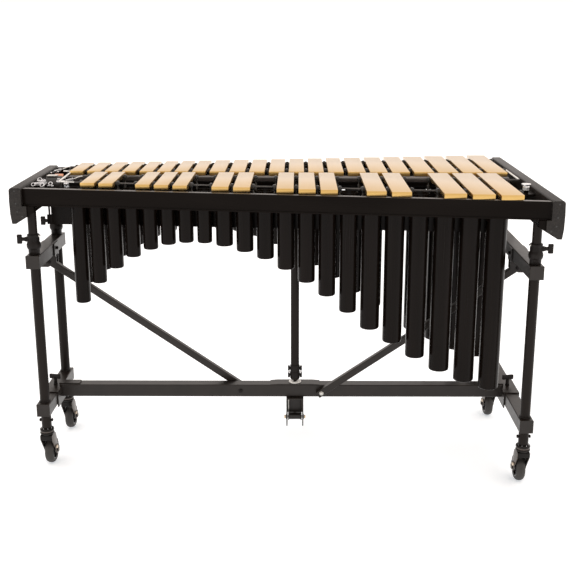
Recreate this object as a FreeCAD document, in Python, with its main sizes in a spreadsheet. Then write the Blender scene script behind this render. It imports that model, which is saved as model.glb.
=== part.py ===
import FreeCAD, Part
import math
import os
from FreeCAD import Placement, Rotation, Vector

# Three-octave vibraphone, F3 to F6.  +X to the low (wide) end, -Y to the audience side, +Z up.
doc = FreeCAD.newDocument("vibraphone")
dims = doc.addObject("Spreadsheet::Sheet", "dims")

# name, value in mm, meaning
SIZES = [
    ("post_x", 689.6, "post axes, distance from the middle plane"),
    ("post_y_high", 128.6, "post axes at the narrow end, distance from the beam plane"),
    ("post_y_low", 238.4, "post axes at the wide end, distance from the beam plane"),
    ("bar_past_post", 25.0, "crossbar length beyond each post axis, without its cap"),
    ("tube_side", 38.1, "square tube side"),
    ("tube_wall", 2.0, "square tube wall"),
    ("lower_z", 170.5, "underside of the lower crossbars"),
    ("upper_z", 614.5, "underside of the upper crossbars"),
    ("beam_z", 179.5, "underside of the long beam"),
    ("post_od", 28.6, "outer post diameter"),
    ("post_bore", 26.0, "outer post bore"),
    ("post_foot_z", 128.5, "lower end of the outer posts"),
    ("post_top_z", 696.0, "upper end of the outer posts"),
    ("inner_od", 25.4, "telescoping tube diameter"),
    ("inner_foot_z", 430.0, "lower end of the telescoping tubes"),
    ("inner_top_z", 792.0, "upper end of the telescoping tubes"),
    ("brace_deep", 20.0, "diagonal brace tube, seen face"),
    ("brace_thick", 19.0, "diagonal brace tube, front to back"),
    ("wheel_dia", 80.0, "caster wheel diameter"),
    ("wheel_wide", 26.0, "caster wheel width"),
    ("trail", 36.0, "caster offset of the wheel behind the swivel axis"),
    ("bar_thick", 12.7, "sounding bar thickness"),
    ("bar_top_z", 863.4, "top of the sounding bars"),
    ("bar_gap", 12.85, "gap between neighbouring sounding bars"),
    ("width_one", 57.15, "bar width, lowest group"),
    ("width_two", 50.8, "bar width, second group"),
    ("width_three", 44.45, "bar width, third group"),
    ("width_four", 38.1, "bar width, highest group"),
    ("cord_dia", 3.6, "suspension cord diameter"),
    ("cord_bore", 6.0, "cord hole through the sounding bars"),
    ("tube_top_z", 834.0, "open upper end of the resonator tubes"),
    ("tube_skin", 1.4, "resonator tube wall"),
    ("shaft_z", 811.0, "height of the two vibrato shafts"),
    ("shaft_dia", 6.0, "vibrato shaft diameter"),
    ("panel_long_high", 422.0, "end panel length at the narrow end"),
    ("panel_long_low", 794.0, "end panel length at the wide end"),
    ("rail_high", 43.0, "height of the outer rails"),
    ("rail_thick", 18.0, "thickness of the outer rails"),
    ("rail_top_z", 849.0, "top of the outer rails"),
    ("pedal_wide", 41.0, "damper pedal width"),
]
SIZE = {}
for line, (name, value, meaning) in enumerate(SIZES, 1):
    dims.set("A%d" % line, name)
    dims.set("B%d" % line, str(value))
    dims.set("C%d" % line, meaning)
    dims.setAlias("B%d" % line, name)
    SIZE[name] = value
doc.recompute()

NODES = []
HIGH = -1
LOW = 1


def node(obj, label):
    """Names a finished sub-part."""
    obj.Label = label
    NODES.append(obj)
    return obj


def give(obj, prop, value):
    """Sets a property from a number, or binds it to an expression."""
    if isinstance(value, str):
        obj.setExpression(prop, value)
    else:
        setattr(obj, prop, value)


def put(obj, at, rot=None):
    obj.Placement = Placement(Vector(*at), rot or Rotation())
    return obj


def box(at, sx, sy, sz, rot=None):
    """A block from its least corner."""
    obj = doc.addObject("Part::Box", "block")
    give(obj, "Length", sx)
    give(obj, "Width", sy)
    give(obj, "Height", sz)
    return put(obj, at, rot)


def cylinder(at, radius, height, axis=(0, 0, 1)):
    obj = doc.addObject("Part::Cylinder", "round")
    give(obj, "Radius", radius)
    give(obj, "Height", height)
    return put(obj, at, Rotation(Vector(0, 0, 1), Vector(*axis)))


def cone(at, lower, upper, height, axis=(0, 0, 1)):
    obj = doc.addObject("Part::Cone", "cone")
    obj.Radius1 = lower
    obj.Radius2 = upper
    obj.Height = height
    return put(obj, at, Rotation(Vector(0, 0, 1), Vector(*axis)))


def rounded(base, size, edges=range(1, 13)):
    """Rounds the listed edges of a block; 1, 3, 5 and 7 are its upright ones."""
    obj = doc.addObject("Part::Fillet", "rounded")
    obj.Base = base
    obj.Edges = [(edge, size, size) for edge in edges]
    return obj


def bevelled(base, size, edges=range(1, 13)):
    obj = doc.addObject("Part::Chamfer", "bevelled")
    obj.Base = base
    obj.Edges = [(edge, size, size) for edge in edges]
    return obj


def group(parts):
    obj = doc.addObject("Part::Compound", "group")
    obj.Links = list(parts)
    return obj


def fuse(parts):
    obj = doc.addObject("Part::MultiFuse", "joined")
    obj.Shapes = list(parts)
    obj.Refine = True
    return obj


def cut(base, tools):
    obj = doc.addObject("Part::Cut", "cut")
    obj.Base = base
    obj.Tool = tools[0] if len(tools) == 1 else group(tools)
    return obj


def outline(sketch, points):
    """A closed outline of straight lines."""
    count = len(points)
    for i in range(count):
        a = Vector(points[i][0], points[i][1], 0)
        b = Vector(points[(i + 1) % count][0], points[(i + 1) % count][1], 0)
        sketch.addGeometry(Part.LineSegment(a, b))


def sketch_on(body, role, outlines):
    plane = [p for p in body.Origin.OriginFeatures if p.Role == role][0]
    sketch = body.newObject("Sketcher::SketchObject", "profile")
    sketch.AttachmentSupport = [(plane, "")]
    sketch.MapMode = "FlatFace"
    for points in outlines:
        outline(sketch, points)
    return sketch


def padded(outlines, length, at=(0, 0, 0), rot=None, role="XY_Plane"):
    """A PartDesign pad, both ways from its plane."""
    body = doc.addObject("PartDesign::Body", "body")
    sketch = sketch_on(body, role, outlines)
    pad = body.newObject("PartDesign::Pad", "pad")
    pad.Profile = sketch
    pad.Midplane = True
    give(pad, "Length", length)
    sketch.Visibility = False
    return put(body, at, rot)


def turned(points, at=(0, 0, 0), rot=None):
    """A PartDesign revolution of (radius, height) points about the local Z axis."""
    body = doc.addObject("PartDesign::Body", "body")
    sketch = sketch_on(body, "XZ_Plane", [points])
    turn = body.newObject("PartDesign::Revolution", "turn")
    turn.Profile = sketch
    turn.ReferenceAxis = (sketch, ["V_Axis"])
    turn.Angle = 360
    return put(body, at, rot)


ALONG_X = Rotation(Vector(0, 0, 1), Vector(1, 0, 0))
AGAINST_X = Rotation(Vector(0, 0, 1), Vector(-1, 0, 0))
UP_YZ = Rotation(Vector(0, 1, 0), Vector(0, 0, 1), Vector(1, 0, 0), "ZXY")

# ---------------------------------------------------------------- layout
side = SIZE["tube_side"]
wall = SIZE["tube_wall"]
post_x = SIZE["post_x"]
post_y = {HIGH: SIZE["post_y_high"], LOW: SIZE["post_y_low"]}
END_NAME = {HIGH: "high", LOW: "low"}
lower_z = SIZE["lower_z"]
upper_z = SIZE["upper_z"]
beam_z = SIZE["beam_z"]
CORNERS = [(HIGH, -1), (HIGH, 1), (LOW, -1), (LOW, 1)]
CORNER_NAME = {(HIGH, -1): "high_front", (HIGH, 1): "high_back",
               (LOW, -1): "low_front", (LOW, 1): "low_back"}


def on_line(x, at_left, at_right):
    """A straight line in plan, given at x = -588 and x = 692."""
    return at_left + (at_right - at_left) * (x + 588.0) / 1280.0


def near_edge(x, accidental):
    return on_line(x, -176.0, -388.0) if accidental else on_line(x, 25.5, 1.5)


def far_edge(x, accidental):
    return on_line(x, 11.5, -12.5) if accidental else on_line(x, 191.5, 374.4)


def node_line(x, accidental, far):
    """The cord runs 22.4 % of the length in from each bar end."""
    near = near_edge(x, accidental)
    length = far_edge(x, accidental) - near
    return near + length * (0.776 if far else 0.224)


def bank_line(x, rear):
    return (near_edge(x, not rear) + far_edge(x, not rear)) / 2.0


# ---------------------------------------------------------------- stand
def square_tube(length_expr, at, rot=None):
    """A square tube along Y, centred on the given middle of its underside."""
    outer = box((0, 0, 0), "dims.tube_side", length_expr, "dims.tube_side")
    soft = rounded(outer, 2.5, (2, 4, 6, 8))
    inner = box((0, 0, 0), "dims.tube_side - 2 * dims.tube_wall", length_expr,
                "dims.tube_side - 2 * dims.tube_wall")
    inner.setExpression("Placement.Base.x", "dims.tube_wall")
    inner.setExpression("Placement.Base.z", "dims.tube_wall")
    return put(cut(soft, [inner]), at, rot)


for end in (HIGH, LOW):
    half = post_y[end] + SIZE["bar_past_post"]
    for level, z in (("lower", lower_z), ("upper", upper_z)):
        expr = "2 * (dims.post_y_%s + dims.bar_past_post)" % END_NAME[end]
        tube = square_tube(expr, (end * post_x - side / 2, -half, z))
        holes = [cylinder((end * post_x, y * post_y[end], z - 5), "dims.post_od / 2 + 0.1", 60)
                 for y in (-1, 1)]
        if level == "upper":
            holes.append(cylinder((end * post_x - 40, -end * 28.8, z + side / 2), 3.3, 80,
                                  (1, 0, 0)))
        node(cut(tube, holes), "%s_crossbar_%s" % (level, END_NAME[end]))

caps = []
for end, y_sign in CORNERS:
    face = post_y[end] + SIZE["bar_past_post"]
    for z in (lower_z, upper_z):
        plate = rounded(box((end * post_x - side / 2, min(y_sign * face, y_sign * (face + 3)), z),
                            side, 3, side), 1.2)
        plug = box((end * post_x - side / 2 + wall + 0.2,
                    min(y_sign * (face - 8), y_sign * (face + 1)), z + wall + 0.2),
                   side - 2 * wall - 0.4, 9, side - 2 * wall - 0.4)
        caps.append(fuse([plate, plug]))
node(group(caps), "crossbar_caps")

posts = []
for end, y_sign in CORNERS:
    at = (end * post_x, y_sign * post_y[end])
    outer = cylinder((at[0], at[1], SIZE["post_foot_z"]), "dims.post_od / 2",
                     "dims.post_top_z - dims.post_foot_z")
    bore = cylinder((at[0], at[1], SIZE["post_foot_z"] - 1), "dims.post_bore / 2",
                    "dims.post_top_z - dims.post_foot_z + 2")
    bolt_hole = cylinder((at[0] - 25, at[1], 150.0), 3.2, 50, (1, 0, 0))
    posts.append(cut(outer, [bore, bolt_hole]))
node(group(posts), "outer_posts")

collars = []
for end, y_sign in CORNERS:
    ring = [(14.6, 0), (16.2, 0), (16.2, 2.6), (15.6, 4.0), (14.6, 4.0)]
    collars.append(turned(ring, (end * post_x, y_sign * post_y[end], lower_z + side + 0.1)))
node(group(collars), "post_collars")

# Height clamps: a ribbed body on the post top that closes on the telescoping tube.
clamps = []
for end, y_sign in CORNERS:
    foot = upper_z + side + 0.1
    body = [(14.5, 0), (15.9, 0), (15.9, 13), (18.4, 16), (20.0, 21), (20.0, 28), (18.4, 33),
            (15.9, 37), (15.9, 48), (17.0, 49), (17.0, 56), (16.0, 57), (13.1, 57), (13.1, 44),
            (14.5, 44)]
    ring = turned(body, (end * post_x, y_sign * post_y[end], foot))
    boss = cylinder((end * (post_x + 12), y_sign * post_y[end], foot + 42.0), 7.5, 10,
                    (end, 0, 0))
    screw_way = cylinder((end * (post_x + 10), y_sign * post_y[end], foot + 42.0), 3.4, 30,
                         (end, 0, 0))
    clear = cylinder((end * post_x, y_sign * post_y[end], foot - 1), 14.5, 45)
    clear_top = cylinder((end * post_x, y_sign * post_y[end], foot - 1), 13.1, 60)
    clamps.append(cut(fuse([ring, boss]), [screw_way, clear, clear_top]))
node(group(clamps), "height_clamps")


def wing_knob(reach, tall, bite):
    """A T knob on a short stem; local +Z points away from the clamp."""
    stem = cylinder((0, 0, 0.4), 6.5, reach - 12)
    wing = rounded(box((-5.5, -tall / 2, reach - 14), 11, tall, 14), 3.5)
    screw = cylinder((0, 0, -bite), 3.0, bite + 1)
    return fuse([stem, wing, screw])


for corner in CORNERS:
    end, y_sign = corner
    knob = wing_knob(24.0, 27, 7.2)
    upright = Rotation(Vector(0, 0, 1), Vector(end, 0, 0)) * Rotation(Vector(0, 0, 1), 90)
    put(knob, (end * (post_x + 22.0), y_sign * post_y[end], upper_z + side + 42.1), upright)
    node(knob, "height_knob_" + CORNER_NAME[corner])

beam_half = post_x - side / 2 - 0.2
beam_block = box((-beam_half, -side / 2, beam_z), 2 * beam_half, "dims.tube_side", "dims.tube_side")
beam_soft = rounded(beam_block, 2.5, (9, 10, 11, 12))
beam_hollow = box((-beam_half - 1, -side / 2 + wall, beam_z + wall), 2 * beam_half + 2,
                  "dims.tube_side - 2 * dims.tube_wall", "dims.tube_side - 2 * dims.tube_wall")
rod_x = 41.9
brace_foot = {HIGH: (-123.0, 198.2), LOW: (122.0, 198.4)}
beam_tools = [beam_hollow, cylinder((rod_x, 0, beam_z - 5), 6.0, 50)]
for end in (HIGH, LOW):
    beam_tools.append(cylinder((brace_foot[end][0], -30, brace_foot[end][1]), 3.2, 60, (0, 1, 0)))
node(cut(beam_soft, beam_tools), "long_beam")

# Saddles: bent plates over each lower crossbar and the beam end, clamped by a knob on top.
saddles = []
for end in (HIGH, LOW):
    top = lower_z + side + 0.2
    x0 = end * post_x
    hood = [(-side / 2 - 3.7, top - 46), (-side / 2 - 0.2, top - 46), (-side / 2 - 0.2, top),
            (side / 2 + 0.2, top), (side / 2 + 0.2, top - 46), (side / 2 + 3.7, top - 46),
            (side / 2 + 3.7, top + 3.5), (-side / 2 - 3.7, top + 3.5)]
    hood = [(x0 + px, pz) for px, pz in hood]
    plate = padded([hood], 128.0, (0, 0, 0), Rotation(Vector(1, 0, 0), 90))
    pass_beam = box((x0 - end * (side / 2 + 2) - 5, -side / 2 - 0.2, beam_z - 0.2), 10,
                    side + 0.4, side + 0.4)
    step = post_x - side / 2 + 0.2
    riser = box((min(end * step, end * (step + 4)), -14, top + 1), 4, 28, 11.4)
    lug = box((min(end * (step + 4), end * (step - 58)), -14, beam_z + side + 0.1), 62, 28, 3.5)
    bolt_way = cylinder((x0, 0, top - 10), 3.4, 30)
    saddles.append(cut(fuse([cut(plate, [pass_beam]), lug, riser]), [bolt_way]))
node(group(saddles), "beam_saddles")

for end in (HIGH, LOW):
    knob = wing_knob(32.0, 36, 3.6)
    put(knob, (end * post_x, 0, lower_z + side + 3.9), Rotation(Vector(0, 0, 1), 90 + 10 * end))
    node(knob, "beam_knob_" + END_NAME[end])

# Diagonal braces, flattened and bolted at both ends.
brace_head = {HIGH: (-post_x, 592.6), LOW: (post_x, 590.0)}
brace_y = {HIGH: side / 2 + 0.3, LOW: -side / 2 - 0.3 - SIZE["brace_thick"]}
for end in (HIGH, LOW):
    foot = Vector(brace_foot[end][0], 0, brace_foot[end][1])
    head = Vector(brace_head[end][0], 0, brace_head[end][1])
    run = head - foot
    span = run.Length
    turn = Rotation(Vector(1, 0, 0), run)
    low = -SIZE["brace_deep"] / 2
    bar = rounded(box((0, 0, 0), span + 23, "dims.brace_thick", "dims.brace_deep"), 2.0,
                  (9, 10, 11, 12))
    hollow = box((-1, 1.6, 1.6), span + 25, "dims.brace_thick - 3.2", "dims.brace_deep - 3.2")
    holes = [cylinder((13, -5, -low), 3.2, 40, (0, 1, 0)),
             cylinder((span + 13, -5, -low), 3.2, 40, (0, 1, 0))]
    brace = cut(bar, [hollow] + holes)
    start = foot + turn.multVec(Vector(-13, 0, low))
    put(brace, (start.x, brace_y[end], start.z), turn)
    node(brace, "brace_" + END_NAME[end])

# Hangers: two cheeks under each upper crossbar hold the brace head, side plates clasp the tube.
gussets = []
for end in (HIGH, LOW):
    yb = brace_y[end]
    thick = SIZE["brace_thick"]
    inner = post_x - side / 2 - 0.2
    outer = post_x + side / 2 + 0.2
    cheek = [(inner - 3.5, upper_z - 0.2), (inner - 3.5, 588.0), (inner + 22, 577.0),
             (outer + 3.5, 577.0), (outer + 3.5, upper_z - 0.2)]
    cheek = [(end * px, pz) for px, pz in cheek]
    sides = [padded([cheek], 3.0, (0, yb - 1.6, 0), Rotation(Vector(1, 0, 0), 90)),
             padded([cheek], 3.0, (0, yb + thick + 1.6, 0), Rotation(Vector(1, 0, 0), 90))]
    for px in (inner - 3.5, outer):
        sides.append(box((min(end * px, end * (px + 3.5)), yb - 13, upper_z - 4), 3.5,
                         thick + 26, side + 1.5))
    bx, bz = brace_head[end]
    ways = [cylinder((bx, yb - 20, bz), 3.2, 60, (0, 1, 0)),
            cylinder((end * (inner - 10), -end * 28.8, upper_z + side / 2), 3.3, 70, (end, 0, 0)),
            box((min(end * (inner - 6), end * (inner + 1)), yb - 0.1, upper_z - 30), 7,
                thick + 0.2, 29.8)]
    gussets.append(cut(fuse(sides), ways))
node(group(gussets), "brace_gussets")

# Pedal bracket: a channel under the beam, open to the player.
pin_y = -22.0
pin_z = 116.0
channel = [(-26.0, 88.0), (-23.0, 88.0), (-23.0, beam_z - 3.2), (23.0, beam_z - 3.2),
           (23.0, 88.0), (26.0, 88.0), (26.0, beam_z - 0.2), (-26.0, beam_z - 0.2)]
bracket = padded([channel], 52.0, (rod_x, -8, 0), Rotation(Vector(1, 0, 0), 90))
web = box((rod_x - 24.0, -10.0, 127.0), 48, 3, beam_z - 129.0)
bracket_cut = cut(fuse([bracket, web]), [cylinder((rod_x, 0, beam_z - 10), 6.0, 20),
                            cylinder((rod_x - 30, pin_y, pin_z), 4.15, 60, (1, 0, 0))])
node(bracket_cut, "pedal_bracket")

hump = [(-75, 0), (75, 0), (75, 1.6), (52, 3.6), (-52, 3.6), (-75, 1.6)]
node(cut(padded([hump], side, (rod_x, 0, beam_z + side + 0.1), Rotation(Vector(1, 0, 0), 90)),
         [cylinder((rod_x, 0, beam_z + side - 5), 8.0, 20)]), "beam_top_plate")

pieces = []
for end, y_sign in CORNERS:
    x0 = end * post_x
    y0 = y_sign * post_y[end]
    pieces.append(fuse([cylinder((x0 - 16, y0, 150.0), 3.0, 32, (1, 0, 0)),
                        cylinder((x0 - 19.5, y0, 150.0), 5.0, 4, (1, 0, 0)),
                        cylinder((x0 + 15.5, y0, 150.0), 5.0, 4, (1, 0, 0))]))
for end in (HIGH, LOW):
    fx, fz = brace_foot[end]
    gap = brace_y[end]
    y0 = -side / 2 if end == HIGH else gap
    y1 = gap + SIZE["brace_thick"] if end == HIGH else side / 2
    pieces.append(fuse([cylinder((fx, y0 - 0.1, fz), 3.0, y1 - y0 + 0.2, (0, 1, 0)),
                        cylinder((fx, y0 - 5, fz), 6.5, 4.9, (0, 1, 0)),
                        cylinder((fx, y1 + 0.1, fz), 5.5, 5, (0, 1, 0))]))
    hx, hz = brace_head[end]
    y0 = gap - 3.2
    y1 = gap + SIZE["brace_thick"] + 3.2
    pieces.append(fuse([cylinder((hx, y0 - 0.1, hz), 3.0, y1 - y0 + 0.2, (0, 1, 0)),
                        cylinder((hx, y0 - 4.5, hz), 6.0, 4.4, (0, 1, 0)),
                        cylinder((hx, y1 + 0.1, hz), 5.5, 4.4, (0, 1, 0))]))
    zc = upper_z + side / 2
    far = end * (post_x + side / 2 + 3.8)
    near = end * (post_x - side / 2 - 3.8)
    pieces.append(fuse([cylinder((near, -end * 28.8, zc), 3.0, abs(far - near), (end, 0, 0)),
                        cylinder((far, -end * 28.8, zc), 6.0, 4, (end, 0, 0)),
                        cylinder((near - end * 5, -end * 28.8, zc), 5.5, 5, (end, 0, 0))]))
pieces.append(fuse([cylinder((rod_x - 30, pin_y, pin_z), 4.0, 60, (1, 0, 0)),
                    cylinder((rod_x - 32, pin_y, pin_z), 5.5, 3, (1, 0, 0)),
                    cylinder((rod_x + 29, pin_y, pin_z), 5.5, 3, (1, 0, 0))]))
pieces.append(turned([(6.3, 0), (17.5, 0), (19.0, 1.5), (17.5, 2.6), (6.3, 2.6)],
                     (rod_x, 0, beam_z + side + 3.8)))
node(group(pieces), "stand_fasteners")

# ---------------------------------------------------------------- casters
wheel_r = SIZE["wheel_dia"] / 2
half_w = SIZE["wheel_wide"] / 2
foot_z = SIZE["post_foot_z"]
for corner in CORNERS:
    end, y_sign = corner
    x0 = end * post_x
    y0 = y_sign * post_y[end]
    name = CORNER_NAME[corner]
    head = turned([(0, 0), (17, 0), (20.5, 3), (20.5, 8), (19, 9), (19, 13), (20.5, 14), (20.5, 18),
                   (16, 21.6), (12, 22.2), (10.5, 22.5), (10.5, 34), (9, 35.5), (0, 35.5)],
                  (x0, y0, foot_z - 23.0))
    legs = []
    for leg in (-1, 1):
        shape = [(-17, foot_z - 23), (-17, foot_z - 36), (SIZE["trail"] - 15, 42),
                 (SIZE["trail"] - 10, 29), (SIZE["trail"], 26), (SIZE["trail"] + 10, 30),
                 (SIZE["trail"] + 13, 40), (SIZE["trail"] - 8, foot_z - 32), (17, foot_z - 23)]
        plate = padded([shape], 2.5, (x0 + leg * (half_w + 3.6), y0, 0), UP_YZ)
        axle_hole = cylinder((x0 + leg * (half_w + 3.6) - 3, y0 + SIZE["trail"], wheel_r), 4.15, 6,
                             (1, 0, 0))
        legs.append(cut(plate, [axle_hole]))
    crown = cut(box((x0 - half_w - 4.85, y0 - 17, foot_z - 38.0), 2 * half_w + 9.7, 34, 15.2),
                [box((x0 - half_w - 2.35, y0 - 14.5, foot_z - 40.0), 2 * half_w + 4.7, 40, 14.0)])
    inward = -end
    axle_y = y0 + SIZE["trail"]
    axle = fuse([cylinder((x0 - inward * (half_w + 6), axle_y, wheel_r), 4.0, 2 * half_w + 15.5,
                          (inward, 0, 0)),
                 cylinder((x0 + inward * (half_w + 8.4), axle_y, wheel_r), 6.0, 2.0,
                          (inward, 0, 0))])
    fork = fuse([head, crown] + legs)
    node(group([fork, axle]), "caster_fork_" + name)
    hub = turned([(4.3, -half_w), (10, -half_w), (11, -half_w + 3), (25, -half_w + 6),
                  (28.8, -half_w + 1), (28.8, half_w - 1), (25, half_w - 6), (11, half_w - 3),
                  (10, half_w), (4.3, half_w)],
                 (x0, y0 + SIZE["trail"], wheel_r), ALONG_X)
    tyre = turned([(29.0, -half_w + 1), (33.5, -half_w), (wheel_r - 1.6, -half_w + 2.6),
                   (wheel_r, -half_w + 6.5), (wheel_r, half_w - 6.5), (wheel_r - 1.6, half_w - 2.6),
                   (33.5, half_w), (29.0, half_w - 1)],
                  (x0, y0 + SIZE["trail"], wheel_r), ALONG_X)
    node(group([hub, tyre]), "caster_wheel_" + name)
    lever_x = x0 + inward * (half_w + 6.9)
    lever = padded([[(-9, -7), (9, -7), (9, 8), (4, 17), (-22, 20), (-22, 13), (-9, 7)]], 2.4,
                   (lever_x, y0 + SIZE["trail"], wheel_r), UP_YZ)
    tab = rounded(box((lever_x - 1.2 if inward > 0 else lever_x - 4.3,
                       y0 + SIZE["trail"] - 23, wheel_r + 12), 5.5, 9, 9), 1.2)
    pivot = cylinder((lever_x - 3, y0 + SIZE["trail"], wheel_r), 4.4, 6, (1, 0, 0))
    node(cut(fuse([lever, tab]), [pivot]), "caster_brake_" + name)

# ---------------------------------------------------------------- pedal and damper
pedal_top = pin_z + 8.0
half_p = SIZE["pedal_wide"] / 2
tread = rounded(box((rod_x - half_p, 30, pedal_top - 5), "dims.pedal_wide", 214, 5), 2.0)
tongue = box((rod_x - half_p, pin_y - 9, pedal_top - 5), "dims.pedal_wide", 54, 5)
cheeks = [box((rod_x + s * (half_p - 1.5) - 1.5, pin_y - 9, pin_z - 9), 3, 150, 13)
          for s in (-1, 1)]
eye = cylinder((rod_x - half_p, pin_y, pin_z), 8.0, "dims.pedal_wide", (1, 0, 0))
pin_way = cylinder((rod_x - 32, pin_y, pin_z), 4.3, 64, (1, 0, 0))
node(cut(fuse([tread, tongue, eye] + cheeks), [pin_way]), "damper_pedal")

rod_foot = pedal_top + 1.2
lower_rod = fuse([cylinder((rod_x, 0, rod_foot + 3), 4.5, 120), cone((rod_x, 0, rod_foot), 2.0, 4.5, 3),
                  cylinder((rod_x, 0, 236.0), 11.1, 470)])
node(cut(lower_rod, [cylinder((rod_x, 0, 242.0), 9.4, 470)]), "lower_rod")

grip = [(4.7, 229.4), (11.0, 229.4), (13.0, 231.0), (13.5, 234.0), (14.5, 235.0), (14.5, 275.0),
        (13.0, 277.0), (11.2, 277.0), (11.2, 235.9), (4.7, 235.9)]
wings = []
for z, half in ((245.0, 9.5), (265.5, 8.0)):
    for s in (-1, 1):
        wings.append(rounded(box((rod_x + (13.5 if s > 0 else -21.5), -7, z - half), 8, 14, 2 * half),
                             2.0))
clamp_ring = turned(grip, (rod_x, 0, 0))
bore = cylinder((rod_x, 0, 235.9), 11.2, 50)
node(cut(fuse([clamp_ring] + wings), [bore]), "rod_clamp")

damper_z = 826.0
rod_top = damper_z - 0.2
node(cut(cylinder((rod_x, 0, 278.0), 12.7, rod_top - 278.0),
         [cylinder((rod_x, 0, 277.0), 11.4, rod_top - 277.0 - 6)]), "upper_rod")


def strip(x0, x1, y_of, wide, z, high, ends_square=True):
    """A straight bar in plan along y_of(x), given by its two ends."""
    a = Vector(x0, y_of(x0), z)
    b = Vector(x1, y_of(x1), z)
    run = b - a
    turn = Rotation(Vector(0, 0, 1), math.degrees(math.atan2(run.y, run.x)))
    obj = box((0, 0, 0), run.Length, wide, high)
    start = a + turn.multVec(Vector(0, -wide / 2, 0))
    return put(obj, (start.x, start.y, start.z), turn)


def damper_line(x):
    return on_line(x, 18.5, -5.5)


under_bars = SIZE["bar_top_z"] - SIZE["bar_thick"]
node(bevelled(strip(-612, 655, damper_line, 40.0, damper_z, 12.0), 1.0), "damper_bar")
node(rounded(strip(-612, 655, damper_line, 38.0, damper_z + 12.1, under_bars - damper_z - 12.5), 2.5,
             (9, 10, 11, 12)), "damper_felt")

# ---------------------------------------------------------------- upper frame
panel_top = 853.0
panel_out = {HIGH: -723.6, LOW: 715.9}
panel_mid_y = {HIGH: -2.0, LOW: 0.0}
inner_panel = {HIGH: -698.6 + 6.6, LOW: 715.9 - 31.6}
profile = [(0.0, 0.0), (-31.6, 0.0), (-31.6, -49.0), (-11.8, -49.0), (-11.8, -98.0),
           (-3.0, -98.0), (0.6, -70.0), (1.2, -35.0)]
beam_profile = [(-12.0, -50.8), (-62.0, -50.8), (-62.0, -68.0), (-14.0, -97.6), (-12.0, -97.6)]
cap_profile = [(0.0, 0.0), (-31.6, 0.0), (-31.6, -49.3), (-44.0, -49.3), (-44.0, -78.8),
               (-14.0, -97.6), (-3.0, -98.0), (0.6, -70.0), (1.2, -35.0)]
frame_parts = []
for end in (HIGH, LOW):
    length = SIZE["panel_long_" + END_NAME[end]]
    flip = [(end * px, pz) for px, pz in profile]
    at = (panel_out[end], panel_mid_y[end], panel_top)
    body = padded([flip], "dims.panel_long_%s - 12" % END_NAME[end], at,
                  Rotation(Vector(1, 0, 0), 90))
    ends = []
    for s in (-1, 1):
        flip = [(end * px, pz) for px, pz in cap_profile]
        cap = padded([flip], 5.8, (at[0], at[1] + s * (length / 2 - 2.95), at[2]),
                     Rotation(Vector(1, 0, 0), 90))
        ends.append(cap)
    node(group([body] + ends), "end_panel_" + END_NAME[end])
    flip = [(end * px, pz) for px, pz in beam_profile]
    beam = padded([flip], "dims.panel_long_%s - 12.4" % END_NAME[end], at,
                  Rotation(Vector(1, 0, 0), 90))
    sockets = [cylinder((end * post_x, s * post_y[end], panel_top - 110), 12.8, 49)
               for s in (-1, 1)]
    frame_parts.append(cut(beam, sockets))

RAIL_SPAN = (-691.7, 684.0)


def rail_line(x):
    return on_line(x, -212.0, -386.0)


def common(a, b):
    obj = doc.addObject("Part::MultiCommon", "trimmed")
    obj.Shapes = [a, b]
    return obj


rail_z = SIZE["rail_top_z"] - SIZE["rail_high"]
for s, label in ((-1, "front_rail"), (1, "rear_rail")):
    edge = rail_line if s < 0 else (lambda x: -rail_line(x))
    shift = s * SIZE["rail_thick"] / 2
    main = strip(-760, 750, (lambda x, e=edge, d=shift: e(x) - d), SIZE["rail_thick"], rail_z,
                 SIZE["rail_high"])
    lip = strip(-760, 750, (lambda x, e=edge, d=shift: e(x) - d + 1.2 * (1 if d > 0 else -1)),
                SIZE["rail_thick"] + 2.4, rail_z - 3.5, 3.5)
    soft = rounded(main, 2.0, (10, 12))
    span = box((RAIL_SPAN[0], -450, 700), RAIL_SPAN[1] - RAIL_SPAN[0], 900, 200)
    node(common(fuse([soft, lip]), span), label)

# Bar-support rails under the four cord lines.
support_z = 802.4
for accidental in (False, True):
    for far in (False, True):
        line = (lambda x, a=accidental, f=far: node_line(x, a, f))
        long_rail = strip(-720, 720, line, 16.0, support_z, 20.0)
        span = box((RAIL_SPAN[0] + 1, -450, 700), RAIL_SPAN[1] - RAIL_SPAN[0] - 2, 900, 200)
        frame_parts.append(common(long_rail, span))
# The small shelf that carries the damper knob, fixed to the wide end panel.
knob_at = (664.0, -188.0)
frame_parts.append(fuse([box((651.4, -214, 834.0), 32.6, 52, 4.0),
                         cylinder((knob_at[0], knob_at[1], 838.0), 7, 6.2)]))
node(group(frame_parts), "inner_frame")

inner_tubes = []
for end, y_sign in CORNERS:
    at = (end * post_x, y_sign * post_y[end])
    outer = cylinder((at[0], at[1], SIZE["inner_foot_z"]), "dims.inner_od / 2",
                     "dims.inner_top_z - dims.inner_foot_z")
    bore = cylinder((at[0], at[1], SIZE["inner_foot_z"] - 1), 10.9,
                    "dims.inner_top_z - dims.inner_foot_z + 2")
    inner_tubes.append(cut(outer, [bore]))
node(group(inner_tubes), "inner_posts")

# ---------------------------------------------------------------- sounding bars
GROUPS = [("width_one", 4), ("width_two", 3), ("width_three", 7), ("width_four", 8)]
naturals = []
x = 624.9
previous = None
for alias, count in GROUPS:
    for _ in range(count):
        if previous is not None:
            x -= (SIZE[previous] + SIZE[alias]) / 2 + SIZE["bar_gap"]
        naturals.append((x, alias))
        previous = alias
gap_x = [(naturals[i][0] + naturals[i + 1][0]) / 2 for i in range(len(naturals) - 1)]
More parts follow.
